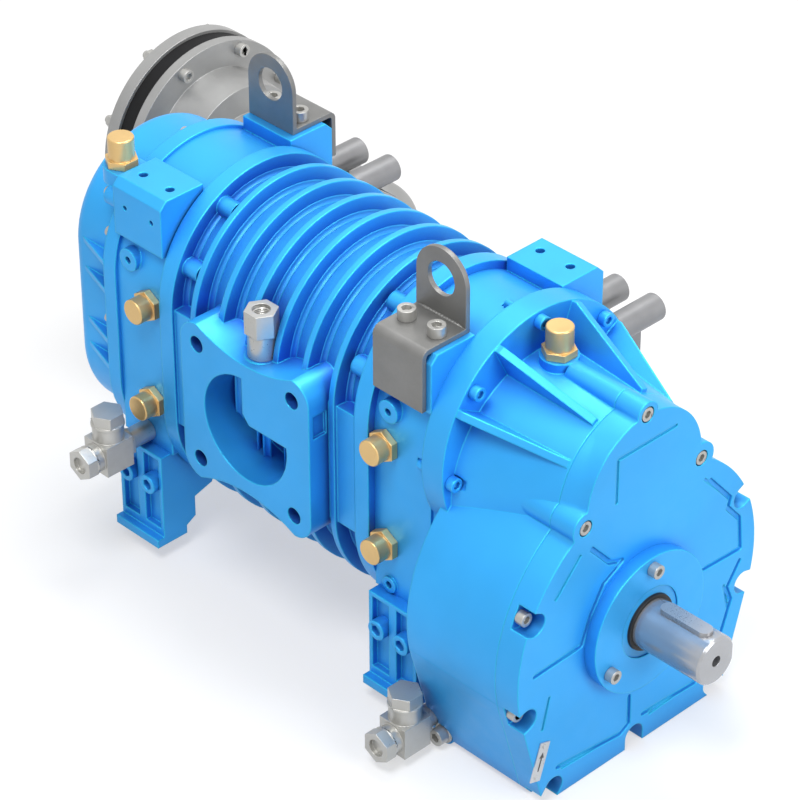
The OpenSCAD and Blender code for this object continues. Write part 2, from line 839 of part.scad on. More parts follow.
// Places of the cover screws that sit in notches and of those that sit in the face.
notch_places = [[126.5, 182.5], [134, 87], [100, -5]];

module cover_screw_places() {
    for (m = [-1, 1], p = notch_places)
        translate([m * p[0], face_y + notch_depth, p[1]]) to_front() children();
    translate([0, face_y + notch_depth, case_bottom + 10.5]) to_front() children();
    for (m = [-1, 1])
        translate([m * shoulder_x, face_y + cover_screw, shoulder_z]) to_front() children();
    translate([0, face_y + cover_screw, upper_z + neck_front_r]) to_front() children();
}

module face_groove(x0, z0, x1, z1) {
    length = sqrt((x1 - x0) * (x1 - x0) + (z1 - z0) * (z1 - z0));
    translate([x0, face_y, z0]) rotate([0, -atan2(z1 - z0, x1 - x0), 0])
        translate([0, -1, -groove_width / 2])
            cube([length, groove_depth + 1, groove_width]);
}

// Half-round notch, open along +X.
module notch_outline() {
    circle(r = notch_r);
    translate([0, -notch_r]) square([4 * notch_r, 2 * notch_r]);
}

module gear_case_cover() {
    bearing_back = face_y + drive_bearing_set + drive_bearing_width;
    color([0.16, 0.5, 0.9]) difference() {
        union() {
            along_y(face_y, split_y) gear_outline();
            neck(face_y, split_y);
        }
        rod_y(drive_bearing_d / 2, face_y - 1, bearing_back, 0, drive_z);
        rod_y(drive_bearing_d / 2 - 10, bearing_back - 1, split_y + 1, 0, drive_z);
        along_y(face_y - 1, face_y + notch_depth) {
            for (m = [0, 1], p = notch_places)
                mirror([m, 0]) translate(p) rotate(atan2(p[1] - drive_z, p[0])) notch_outline();
            translate([0, case_bottom + 10.5]) rotate(-90) notch_outline();
        }
        for (m = [-1, 1])
            rod_y(head_d(cover_screw) / 2 + 1, face_y - 1, face_y + cover_screw,
                m * shoulder_x, shoulder_z);
        rod_y(head_d(cover_screw) / 2 + 1, face_y - 1, face_y + cover_screw,
            0, upper_z + neck_front_r);
        cover_screw_places() screw_hole(cover_screw, cover_screw_length);
        seal_screw_places() screw_hole(seal_screw, seal_screw_length);
        for (m = [-1, 1]) {
            face_groove(m * 125, 129, m * 76, 130);
            face_groove(m * 116, 66, m * 108, 98);
            face_groove(m * 18, 7, m * 91, 11);
            face_groove(m * 104, 196, m * 75, 227);
        }
        face_groove(-34, 257, -34, 301);
        face_groove(-34, 301, 37, 301);
    }
}

module gear_cover_screws() {
    color([0.7, 0.7, 0.68]) cover_screw_places() cap_screw(cover_screw, cover_screw_length - 3);
}

module ring_screw_places() {
    for (a = ring_screw_angles)
        translate([ring_screw_r * cos(a), ring_y, upper_z + ring_screw_r * sin(a)])
            to_front() children();
}

module flange_thread_holes() {
    ring_screw_places() screw_hole(cover_screw, ring_screw_length);
}

module ring_flange_screws() {
    color([0.16, 0.5, 0.9]) ring_screw_places() cap_screw(cover_screw, ring_screw_length - 3);
}

// Shaft seal.

seal_screw_length = 30;
drive_bearing_d = 90;
drive_bearing_bore = 50;
drive_bearing_width = 20;
drive_bearing_set = 2;

module seal_screw_places() {
    for (a = [90, 210, 330])
        translate([seal_screw_r * cos(a), disc_face_y, drive_z + seal_screw_r * sin(a)])
            to_front() children();
}

module shaft_seal_cover() {
    color([0.16, 0.5, 0.9]) difference() {
        union() {
            rod_y(seal_cover_r, disc_face_y, face_y, 0, drive_z);
            rod_y(drive_bearing_d / 2 - spigot_fit, face_y - 1, face_y + drive_bearing_set,
                0, drive_z);
        }
        rod_y(seal_ring_r, disc_face_y - 1, face_y - 3, 0, drive_z);
        rod_y(shaft_d / 2 + 4, face_y - 4, face_y + drive_bearing_set + 1, 0, drive_z);
        seal_screw_places() screw_hole(seal_screw, seal_screw_length);
    }
}

module shaft_seal() {
    color([0.1, 0.1, 0.1]) difference() {
        union() {
            rod_y(seal_ring_r, disc_face_y + 1.5, face_y - 3, 0, drive_z);
            rod_y(shaft_d / 2 + 3.5, disc_face_y - 1.5, disc_face_y + 2, 0, drive_z);
        }
        rod_y(shaft_d / 2 + running_fit, disc_face_y - 2, face_y, 0, drive_z);
    }
}

module seal_cover_screws() {
    color([0.7, 0.7, 0.68]) seal_screw_places() cap_screw(seal_screw, seal_screw_length - 3);
}

// Timing cover.

module rounded_lobe(r, y0, y1, round) {
    length = y1 - y0;
    for (z = [upper_z, lower_z])
        translate([0, y0, z]) rotate([-90, 0, 0]) rotate_extrude() {
            square([r, length - round]);
            square([r - round, length]);
            translate([r - round, length - round]) circle(r = round);
        }
    translate([0, y0, lower_z]) linear_extrude(rotor_centres) {
        translate([-r, 0]) square([2 * r, length - round]);
        translate([round - r, 0]) square([2 * r - 2 * round, length]);
        for (m = [-1, 1]) translate([m * (r - round), length - round]) circle(r = round);
    }
}

corner_lug_x = -90;
corner_lug_z = 334;
corner_lug_r = 10;
timing_screw_length = 26;

module timing_screws() {
    ring = timing_flange_r - 7.5;
    for (a = [20, 57, 90, 160])
        translate([ring * cos(a), rear_y + timing_flange, upper_z + ring * sin(a)])
            to_rear() children();
    for (a = [200, 250, 290, 340])
        translate([ring * cos(a), rear_y + timing_flange, lower_z + ring * sin(a)])
            to_rear() children();
    for (m = [-1, 1])
        translate([m * ring, rear_y + timing_flange, mid_z]) to_rear() children();
    translate([corner_lug_x, rear_y + timing_flange, corner_lug_z]) to_rear() children();
}

module gusset(z) {
    translate([0, 0, z]) linear_extrude(gusset_thickness, center = true)
        polygon([[-timing_r + 12, rear_y + timing_flange - 1],
            [-timing_flange_r, rear_y + timing_flange - 1],
            [-timing_flange_r, rear_y + timing_flange], [-timing_r + 1, timing_y - timing_round],
            [-timing_r + 12, timing_y - timing_round]]);
}

module timing_flange_outline() {
    two_lobe(timing_flange_r);
    translate([corner_lug_x, corner_lug_z]) circle(r = corner_lug_r);
    translate([corner_lug_x, corner_lug_z]) rotate(-45) translate([0, 2 - corner_lug_r])
        square([3 * corner_lug_r, 2 * corner_lug_r - 4]);
}

module timing_cover() {
    color([0.16, 0.5, 0.9]) difference() {
        union() {
            along_y(rear_y, rear_y + timing_flange) timing_flange_outline();
            rounded_lobe(timing_r, rear_y, timing_y, timing_round);
            for (m = [0, 1], z = [268, 238, 184, 156]) mirror([m, 0, 0]) gusset(z);
            for (a = [75, 105]) translate([0, 0, upper_z]) rotate([0, a + 180, 0])
                translate([0, 0, -upper_z]) gusset(upper_z);
            rod_z(breather_boss_r, rear_breather_z - breather_shelf, rear_breather_z,
                rear_breather_x, rear_breather_y);
            box(rear_breather_x - breather_boss_r, rear_breather_x + breather_boss_r, rear_y,
                rear_breather_y, rear_breather_z - breather_shelf, rear_breather_z);
        }
        rounded_lobe(timing_r - timing_wall, rear_y - 1, timing_y - timing_wall, timing_round / 2);
        timing_screws() screw_hole(timing_screw, timing_screw_length + 2);
        rod_z(plug_stud_r, rear_breather_z - breather_stud - 4, rear_breather_z + 1,
            rear_breather_x, rear_breather_y);
    }
}

module timing_cover_screws() {
    color([0.7, 0.7, 0.68]) timing_screws() cap_screw(timing_screw, timing_screw_length);
}

// Brackets.

module lifting_outline(inner, outer, leg) {
    t = bracket_sheet;
    r = bend_r + t;
    translate([inner, block_top]) square([outer - r - inner, t]);
    translate([outer - t, leg]) square([t, block_top + t - r - leg]);
    difference() {
        translate([outer - r, block_top + t - r]) circle(r = r);
        translate([outer - r, block_top + t - r]) circle(r = bend_r);
        translate([outer - 3 * r, block_top + t - 3 * r]) square([2 * r, 3 * r]);
        translate([outer - 2 * r, block_top + t - 3 * r]) square([3 * r, 2 * r]);
    }
}

module lifting_bracket(inner, outer, leg, y_mid) {
    y0 = y_mid - bracket_width / 2;
    y1 = y_mid + bracket_width / 2;
    eye_z = block_top + eye_height;
    difference() {
        union() {
            along_y(y0, y1) lifting_outline(inner, outer, leg);
            along_x(inner, inner + bracket_sheet) union() {
                translate([y_mid, eye_z]) circle(r = bracket_width / 2);
                translate([y0, block_top]) square([bracket_width, eye_height]);
            }
        }
        rod_x(eye_r, inner - 1, inner + bracket_sheet + 1, y_mid, eye_z);
    }
}

module front_lifting_bracket()
    color([0.55, 0.55, 0.54]) difference() {
        mirror([1, 0, 0])
            lifting_bracket(block_inner, side_x + bracket_sheet, block_bottom + 1, -foot_y);
        bracket_screw_places(-1) screw_hole(bracket_screw, bracket_sheet + 1);
    }

module rear_lifting_bracket()
    color([0.55, 0.55, 0.54]) difference() {
        lifting_bracket(block_inner + 8, side_x + 2 * bracket_sheet, block_bottom + 14,
            foot_y + rear_bracket_shift);
        bracket_screw_places(1) screw_hole(bracket_screw, bracket_sheet + 1);
    }

module bracket_screws() {
    color([0.7, 0.7, 0.68]) for (side = [-1, 1])
        bracket_screw_places(side) cap_screw(bracket_screw, bracket_screw_length);
}

module side_bracket(y_mid, sheet_bottom) {
    color([0.6, 0.6, 0.6]) difference() {
        union() {
            for (k = [-1, 1])
                rod_x(tube_r, tube_start_x, tube_end_x, y_mid + k * tube_pitch / 2, tube_z);
            box(side_x, side_x + side_sheet, y_mid - tube_pitch / 2 - 8, y_mid + tube_pitch / 2 + 8,
                sheet_bottom, tube_z + 8);
            for (k = [-1, 1])
                box(side_x, side_sheet_x, y_mid + k * tube_pitch / 2 - side_sheet / 2,
                    y_mid + k * tube_pitch / 2 + side_sheet / 2, sheet_bottom, tube_z);
            box(side_x, side_sheet_x - 20, y_mid - tube_pitch / 2, y_mid + tube_pitch / 2,
                tube_z - side_sheet / 2, tube_z + side_sheet / 2);
        }
        for (k = [-1, 1])
            rod_x(tube_r - tube_wall, tube_end_x - tube_bore, tube_end_x + 1,
                y_mid + k * tube_pitch / 2, tube_z);
    }
}

module front_side_bracket() side_bracket(-foot_y, front_sheet_z);
module rear_side_bracket() side_bracket(foot_y, rear_sheet_z);

// Brass plugs and breathers.

module brass_cap(h, stud) {
    chamfer = 1;
    hexagon(brass_hex, plug_hex_h);
    translate([0, 0, plug_hex_h]) cylinder(r = plug_d / 2, h = h - plug_hex_h - chamfer);
    translate([0, 0, h - chamfer])
        cylinder(r1 = plug_d / 2, r2 = plug_d / 2 - chamfer, h = chamfer);
    translate([0, 0, -stud]) cylinder(r = plug_stud_r - screw_fit, h = stud + 1);
}

module side_plugs() {
    color([0.85, 0.66, 0.36]) for (side = [-1, 1], z = [plug_upper_z, plug_lower_z])
        translate([-side_x, side > 0 ? rear_plug_y : front_plug_y, z])
            to_left() brass_cap(plug_h, plug_stud);
}

module front_breather() {
    color([0.85, 0.66, 0.36])
        translate([0, breather_y, breather_z]) brass_cap(breather_h, breather_stud);
}

module rear_breather() {
    color([0.85, 0.66, 0.36])
        translate([rear_breather_x, rear_breather_y, rear_breather_z])
            brass_cap(breather_h, breather_stud);
}

module suction_connector() {
    color([0.6, 0.6, 0.6]) translate([connector_x, connector_y, connector_z]) difference() {
        union() {
            cylinder(r = connector_hex / 2 - 0.5, h = connector_h / 2);
            translate([0, 0, connector_h / 2]) rotate(30) hexagon(connector_hex, connector_h / 2);
            translate([0, 0, -connector_stud])
                cylinder(r = 8 - screw_fit, h = connector_stud + 1);
        }
        translate([0, 0, connector_h - 30]) cylinder(r = 8, h = 31);
    }
}

// Tee fittings.

tee_rear_y = foot_y;
tee_rear_z = 110;
tee_front_x = lobe_r + 2;
tee_front_y = front_y - 16;
tee_relief = 0.5;
tee_front_z = 9;
tee_bore = 6;

// The origin is the middle of the square body; the nipple points to the right.
module tee(root) {
    color([0.6, 0.6, 0.58]) difference() {
        union() {
            translate([0, 0, 0]) cube([tee_body, tee_body, tee_body], center = true);
            rod_x(tee_nipple_r, 0, root, 0, 0);
            translate([tee_body / 2, 0, 0]) to_right() hexagon(24, 6);
            rod_x(tee_nipple_r - 2 - screw_fit, root - 1, root + 12, 0, 0);
            rod_z(tee_body / 2 - 1, 0, tee_plug_reach - 14, 0, 0);
            rod_x(tee_body / 2 - 2, -tee_nut_reach + 13, 0, 0, 0);
        }
        rod_x(tee_bore, 0, root + 13, 0, 0);
        rod_z(8, 0, tee_plug_reach, 0, 0);
        rod_x(8, -tee_nut_reach, 0, 0, 0);
    }
}

module tee_plug() {
    color([0.62, 0.62, 0.6]) {
        translate([0, 0, tee_plug_reach - 14]) cylinder(r = tee_body / 2, h = 3);
        translate([0, 0, tee_plug_reach - 11]) hexagon(brass_hex, 11);
        rod_z(8 - screw_fit, tee_plug_reach - 26, tee_plug_reach - 13, 0, 0);
    }
}

module tee_nut() {
    color([0.62, 0.62, 0.6]) difference() {
        union() {
            translate([-tee_nut_reach + 13, 0, 0]) to_left() cylinder(r = tee_body / 2 - 1, h = 2);
            translate([-tee_nut_reach + 11, 0, 0]) to_left() hexagon(brass_hex, 11);
            rod_x(8 - screw_fit, -tee_nut_reach + 12, -tee_nut_reach + 24, 0, 0);
        }
        rod_x(8, -tee_nut_reach - 1, -tee_nut_reach + 4, 0, 0);
    }
}

module at_front_tee() translate([-tee_front_x, tee_front_y, tee_front_z]) children();
module at_rear_tee() translate([-side_x - tee_root_reach, tee_rear_y, tee_rear_z]) children();

module front_tee() at_front_tee() tee(tee_front_x - panel_x);
module front_tee_plug() at_front_tee() tee_plug();
module front_tee_nut() at_front_tee() tee_nut();
module rear_tee() at_rear_tee() tee(tee_root_reach);
module rear_tee_plug() at_rear_tee() tee_plug();
module rear_tee_nut() at_rear_tee() tee_nut();

module side_lug_screw() {
    color([0.66, 0.66, 0.64]) translate([-lug_x, lug_y, lug_z]) to_left() {
        difference() {
            cylinder(r = lug_washer_r, h = 2);
            translate([0, 0, -1]) cylinder(r = lug_screw / 2 - 1, h = 4);
        }
        translate([0, 0, 2]) cap_screw(lug_screw, 22);
    }
}

module arrow_plate() {
    color([0.7, 0.7, 0.7]) translate([-118, face_y, 34]) rotate([0, -72, 0]) {
        translate([-19, -1, -6]) cube([38, 1, 12]);
        for (k = [-1, 1]) translate([15 * k, 0, 0]) to_front() cylinder(r = 2, h = 2);
    }
}

// Discharge.

elbow_screw = 10;
elbow_screw_length = 32;
elbow_plate = 12;
elbow_half_z = 56.5;
elbow_screw_y = 22;
elbow_screw_z = 48.5;

module elbow_screw_places() {
    for (a = [-1, 1], b = [-1, 1])
        translate([side_x + elbow_plate, foot_y + a * elbow_screw_y, mid_z + b * elbow_screw_z])
            to_right() children();
}

module discharge_elbow() {
    start = side_x + elbow_plate;
    bore = pipe_r - pipe_wall;
    color([0.66, 0.66, 0.64]) difference() {
        union() {
            box(side_x, start, foot_y - 29, foot_y + 29, mid_z - elbow_half_z, mid_z + elbow_half_z);
            rod_x(pipe_r, start - 1, pipe_x, foot_y, mid_z);
            translate([pipe_x, foot_y, mid_z]) sphere(r = pipe_r);
            rod_y(pipe_r, foot_y, disc_y, pipe_x, mid_z);
            cone_y(collar_front_r, collar_r, disc_y - collar_length, disc_y, pipe_x, mid_z);
            rod_y(disc_r, disc_y, disc_y + disc_front, pipe_x, mid_z);
        }
        along_x(side_x - 1, start + 1) discharge_port();
        rod_x(bore, start, pipe_x, foot_y, mid_z);
        translate([pipe_x, foot_y, mid_z]) sphere(r = bore);
        rod_y(bore, foot_y, disc_y + disc_front + 1, pipe_x, mid_z);
        elbow_screw_places() screw_hole(elbow_screw, elbow_screw_length);
        flange_screw_places() screw_hole(cover_screw, disc_stack);
    }
}

module elbow_screws() {
    color([0.7, 0.7, 0.68]) elbow_screw_places() cap_screw(elbow_screw, elbow_screw_length - 3);
}

disc_stack = disc_front + rubber_thickness + disc_rear;

module flange_screw_places() {
    for (i = [0 : disc_screws - 1])
        translate([pipe_x + disc_pcd / 2 * cos(360 / disc_screws * (i + 0.5)), disc_y,
            mid_z + disc_pcd / 2 * sin(360 / disc_screws * (i + 0.5))]) to_front() children();
}

module rubber_ring() {
    color([0.05, 0.05, 0.05]) difference() {
        rod_y(disc_r - 3, disc_y + disc_front, disc_y + disc_front + rubber_thickness,
            pipe_x, mid_z);
        rod_y(pipe_r, disc_y, disc_y + disc_stack, pipe_x, mid_z);
        flange_screw_places() screw_hole(cover_screw, disc_stack + 1);
    }
}

module counter_flange() {
    y0 = disc_y + disc_front + rubber_thickness;
    color([0.66, 0.66, 0.64]) difference() {
        rod_y(disc_r, y0, y0 + disc_rear, pipe_x, mid_z);
        rod_y(pipe_r - pipe_wall, y0 - 1, y0 + disc_rear + 1, pipe_x, mid_z);
        flange_screw_places() screw_hole(cover_screw, disc_stack + 1);
    }
}

module flange_screws() {
    color([0.7, 0.7, 0.68]) flange_screw_places() {
        cap_screw(cover_screw, disc_stack + 12);
        translate([0, 0, -disc_stack - 7]) difference() {
            hexagon(13, 7);
            translate([0, 0, -1]) cylinder(r = cover_screw / 2 - 0.5, h = 9);
        }
    }
}

// Rotors.

function epi(r, g, t) = let (a = g / r * t)
    [(r + g) * cos(a) - g * cos(a + t), (r + g) * sin(a) - g * sin(a + t)];
function hypo(r, g, t) = let (a = g / r * t)
    [(r - g) * cos(a) + g * cos(a - t), (r - g) * sin(a) + g * sin(a - t)];
function turned(p, a) = [p[0] * cos(a) - p[1] * sin(a), p[0] * sin(a) + p[1] * cos(a)];

lobe_steps = 11;
root_steps = 3;

function male_points() = [for (k = [0 : male_lobes - 1])
    each concat(
        [for (i = [0 : lobe_steps - 1])
            turned(epi(male_pitch, lobe_circle, 360 * i / lobe_steps), k * 360 / male_lobes)],
        [for (i = [0 : root_steps - 1])
            turned(hypo(male_pitch, root_circle, 360 * i / root_steps),
                k * 360 / male_lobes + 360 * lobe_circle / male_pitch)])];

function female_points() = [for (k = [0 : female_lobes - 1])
    each concat(
        [for (i = [0 : lobe_steps - 3])
            turned(hypo(female_pitch, lobe_circle, 360 * i / (lobe_steps - 2)),
                k * 360 / female_lobes)],
        [for (i = [0 : root_steps - 1])
            turned(epi(female_pitch, root_circle, 360 * i / root_steps),
                k * 360 / female_lobes + 360 * lobe_circle / female_pitch)])];

twist_slices = 26;

module screw_body(points, start_angle, twist) {
    translate([0, rotor_half, 0]) rotate([90, 0, 0])
        linear_extrude(2 * rotor_half, twist = twist, slices = twist_slices)
            rotate(start_angle) offset(delta = -rotor_gap) polygon(points);
}

// Integral journals; front_end and rear_end are the ends of the thinner gear seats.
module journals(front_end, rear_end) {
    rod_y(journal_d / 2, rotor_half - 0.5, bearing_out, 0, 0);
    rod_y(gear_seat_d / 2, bearing_out - 1, rear_end, 0, 0);
    rod_y(journal_d / 2, -bearing_out, 0.5 - rotor_half, 0, 0);
    if (front_end < -bearing_out) rod_y(gear_seat_d / 2, front_end, 1 - bearing_out, 0, 0);
}

gear_y = ring_y - 8;
timing_gear_y = rear_y + 10;
timing_gear_end = timing_gear_y + timing_gear_width;

module male_rotor() {
    color([0.62, 0.63, 0.66]) translate([0, 0, upper_z]) {
        screw_body(male_points(), -90 - 180 * lobe_circle / male_pitch, male_twist);
        journals(gear_y - drive_gear_width - 4, timing_gear_end + 4);
    }
}

module female_rotor() {
    color([0.58, 0.6, 0.63]) translate([0, 0, lower_z]) {
        screw_body(female_points(), 90 - 180 * lobe_circle / female_pitch,
            -male_twist * male_lobes / female_lobes);
        journals(-bearing_out, timing_gear_end + 4);
    }
}

// Gears.

pressure = 20;
flank_steps = 4;

function inv(a) = tan(a) * 180 / PI - a;

function tooth_points(m, n) = let (
        rp = m * n / 2,
        rb = rp * cos(pressure),
        ra = rp + m,
        rf = rp - 1.25 * m,
        r0 = max(rb, rf + 0.3 * m),
        half = 90 / n - backlash / rp * 90 / PI + inv(pressure))
    concat(
        [[rf, -half - 0.2]],
        [for (i = [0 : flank_steps]) let (r = r0 + (ra - r0) * i / flank_steps)
            [r, -(half - inv(acos(min(1, rb / r))))]],
        [for (i = [flank_steps : -1 : 0]) let (r = r0 + (ra - r0) * i / flank_steps)
            [r, half - inv(acos(min(1, rb / r)))]],
        [[rf, half + 0.2]]);

module gear_outline_2d(m, n) {
    tooth = tooth_points(m, n);
    polygon([for (k = [0 : n - 1], p = tooth)
        [p[0] * cos(p[1] + k * 360 / n), p[0] * sin(p[1] + k * 360 / n)]]);
}

module gear_wheel(m, n, y0, width, z, angle, bore_r) {
    translate([0, 0, z]) difference() {
        along_y(y0, y0 + width) rotate(angle) gear_outline_2d(m, n);
        rod_y(bore_r, y0 - 1, y0 + width + 1, 0, 0);
    }
}

module male_timing_gear() {
    color([0.5, 0.5, 0.5]) gear_wheel(timing_module, male_teeth, timing_gear_y,
        timing_gear_width, upper_z, 180 / male_teeth - 90, gear_seat_d / 2);
}

module female_timing_gear() {
    color([0.5, 0.5, 0.5]) gear_wheel(timing_module, female_teeth, timing_gear_y,
        timing_gear_width, lower_z, 90, gear_seat_d / 2);
}

module drive_pinion() {
    color([0.5, 0.5, 0.5]) gear_wheel(drive_module, pinion_teeth, gear_y - drive_gear_width,
        drive_gear_width, upper_z, 180 / pinion_teeth - 90, gear_seat_d / 2);
}

bull_bore = 28;
gear_rim_r = 86;
gear_hub_r = 44;
gear_recess = 9;
gear_holes = 6;
gear_hole_r = 13;
gear_hole_circle = (gear_rim_r + gear_hub_r) / 2;

module bull_gear() {
    color([0.5, 0.5, 0.5]) difference() {
        gear_wheel(drive_module, bull_teeth, gear_y - drive_gear_width, drive_gear_width,
            drive_z, 90, bull_bore);
        for (s = [0, 1])
            difference() {
                rod_y(gear_rim_r, s > 0 ? gear_y - gear_recess : gear_y - drive_gear_width - 1,
                    s > 0 ? gear_y + 1 : gear_y - drive_gear_width + gear_recess, 0, drive_z);
                rod_y(gear_hub_r, gear_y - drive_gear_width - 2, gear_y + 2, 0, drive_z);
            }
        for (i = [0 : gear_holes - 1])
            rod_y(gear_hole_r, gear_y - drive_gear_width - 1, gear_y + 1,
                gear_hole_circle * cos(360 / gear_holes * (i + 0.5)),
                drive_z + gear_hole_circle * sin(360 / gear_holes * (i + 0.5)));
    }
}

// Drive shaft and key.

drive_rear_bore = 40;
drive_rear_d = 80;
drive_rear_width = 18;
key_start = shaft_end_y + 7.5;
flat_depth = 3;
flat_length = 16;
centre_hole_r = 5;
centre_hole_depth = 24;
shaft_chamfer = 2;

module drive_shaft() {
    seat_y = face_y + drive_bearing_set + drive_bearing_width;
    color([0.68, 0.69, 0.7]) translate([0, 0, drive_z]) difference() {
        union() {
            rod_y(shaft_d / 2, shaft_end_y + shaft_chamfer, face_y, 0, 0);
            cone_y(shaft_d / 2 - shaft_chamfer, shaft_d / 2, shaft_end_y,
                shaft_end_y + shaft_chamfer, 0, 0);
            rod_y(drive_bearing_bore / 2, face_y - 1, seat_y, 0, 0);
            rod_y(bull_bore + 4, seat_y, gear_y - drive_gear_width, 0, 0);
            rod_y(bull_bore, gear_y - drive_gear_width - 1, gear_y + 6, 0, 0);
            rod_y(drive_rear_bore / 2, gear_y, front_y + drive_rear_width, 0, 0);
        }
        box(-key_width / 2, key_width / 2, key_start + key_width / 2,
            key_start + key_length - key_width / 2, shaft_d / 2 - keyway_depth, shaft_d);
        for (y = [key_start + key_width / 2, key_start + key_length - key_width / 2])
            rod_z(key_width / 2, shaft_d / 2 - keyway_depth, shaft_d, 0, y);
        box(shaft_d / 2 - flat_depth, shaft_d, shaft_end_y - 1, shaft_end_y + flat_length,
            -shaft_d, shaft_d);
        rod_y(centre_hole_r, shaft_end_y - 1, shaft_end_y + centre_hole_depth, 0, 0);
    }
}

module drive_key() {
    z0 = drive_z + shaft_d / 2 - keyway_depth;
    color([0.45, 0.45, 0.46]) {
        box(-key_width / 2, key_width / 2, key_start + key_width / 2,
            key_start + key_length - key_width / 2, z0, z0 + key_height);
        for (y = [key_start + key_width / 2, key_start + key_length - key_width / 2])
            rod_z(key_width / 2, z0, z0 + key_height, 0, y);
    }
}

// Bearings, seals and carriers.

carrier_plate = 8;
retainer_plate = 6;
retainer_r = 52;
rollers = 11;
roller_bite = 0.4;
roller_inset = 2.5;

module roller_bearing(bore, outer, width, y0, z) {
    gap = (outer - bore) / 2;
    color([0.75, 0.75, 0.76]) translate([0, y0, z]) {
        difference() {
            rod_y(outer / 2, 0, width, 0, 0);
            rod_y(outer / 2 - gap / 4, -1, width + 1, 0, 0);
        }
        difference() {
            rod_y(bore / 2 + gap / 4, 0, width, 0, 0);
            rod_y(bore / 2 + running_fit, -1, width + 1, 0, 0);
        }
        for (i = [0 : rollers - 1])
            rod_y(gap / 4 + roller_bite, roller_inset, width - roller_inset,
                (bore + gap) / 2 * cos(360 / rollers * i),
                (bore + gap) / 2 * sin(360 / rollers * i));
    }
}

module male_front_bearing() roller_bearing(journal_d, bearing_d, bearing_width, -bearing_out, upper_z);
module male_rear_bearing() roller_bearing(journal_d, bearing_d, bearing_width, bearing_in, upper_z);
module female_front_bearing() roller_bearing(journal_d, bearing_d, bearing_width, -bearing_out, lower_z);
module female_rear_bearing() roller_bearing(journal_d, bearing_d, bearing_width, bearing_in, lower_z);
module drive_front_bearing() roller_bearing(drive_bearing_bore, drive_bearing_d,
    drive_bearing_width, face_y + drive_bearing_set, drive_z);
module drive_rear_bearing() roller_bearing(drive_rear_bore, drive_rear_d, drive_rear_width,
    front_y, drive_z);

module rotor_seals() {
    color([0.25, 0.25, 0.25]) for (side = [-1, 1], z = [upper_z, lower_z]) difference() {
        rod_y(seal_r, side > 0 ? housing_half + 1 : 1 - bearing_in,
            side > 0 ? bearing_in - 1 : -housing_half - 1, 0, z);
        rod_y(journal_d / 2 + running_fit, side > 0 ? housing_half : -bearing_in,
            side > 0 ? bearing_in : -housing_half, 0, z);
    }
}

module bearing_carrier() {
    color([0.4, 0.42, 0.45]) difference() {
        union() {
            along_y(front_y - carrier_plate, front_y) carrier_outline(carrier_r);
            rod_y(carrier_r, front_y - 1, front_y + carrier_depth, 0, drive_z);
            for (z = [upper_z, lower_z])
                rod_y(bearing_d / 2 - spigot_fit, front_y - 1, -bearing_out, 0, z);
        }
        rod_y(seal_r, front_y - carrier_plate - 1, 1 - bearing_out, 0, upper_z);
        rod_y(seal_r, front_y + carrier_depth, 1 - bearing_out, 0, lower_z);
        rod_y(drive_rear_d / 2, front_y - carrier_plate - 1, front_y + drive_rear_width,
            0, drive_z);
    }
}

module bearing_retainer() {
    color([0.4, 0.42, 0.45]) difference() {
        union() {
            along_y(rear_y, rear_y + retainer_plate) two_lobe(retainer_r);
            for (z = [upper_z, lower_z])
                rod_y(bearing_d / 2 - spigot_fit, bearing_out, rear_y + 1, 0, z);
        }
        for (z = [upper_z, lower_z])
            rod_y(seal_r, bearing_out - 1, rear_y + retainer_plate + 1, 0, z);
    }
}

rotor_housing();
front_bearing_housing();
rear_bearing_housing();
gear_case();
gear_case_cover();
timing_cover();
shaft_seal_cover();
shaft_seal();
front_left_foot();
front_right_foot();
rear_left_foot();
rear_right_foot();
front_lifting_bracket();
rear_lifting_bracket();
front_side_bracket();
rear_side_bracket();
side_plugs();
front_breather();
rear_breather();
suction_connector();
front_tee();
front_tee_plug();
front_tee_nut();
rear_tee();
rear_tee_plug();
rear_tee_nut();
arrow_plate();
gear_cover_screws();
ring_flange_screws();
seal_cover_screws();
timing_cover_screws();
foot_screws();
bracket_screws();
side_lug_screw();
discharge_elbow();
elbow_screws();
counter_flange();
rubber_ring();
flange_screws();
male_rotor();
female_rotor();
male_timing_gear();
female_timing_gear();
drive_pinion();
drive_shaft();
drive_key();
bull_gear();
male_front_bearing();
male_rear_bearing();
female_front_bearing();
female_rear_bearing();
drive_front_bearing();
drive_rear_bearing();
rotor_seals();
bearing_carrier();
bearing_retainer();
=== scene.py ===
"""Finishes, edge work and studio for the twin-screw vacuum pump, laid out as a Blender add-on.

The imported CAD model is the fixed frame. Lengths are metres, +Z is up and +Y runs from the
drive end to the timing cover.
"""

import math

import bpy
from bpy.props import (
    FloatProperty,
    FloatVectorProperty,
    IntProperty,
    PointerProperty,
)
from mathutils import Matrix, Vector


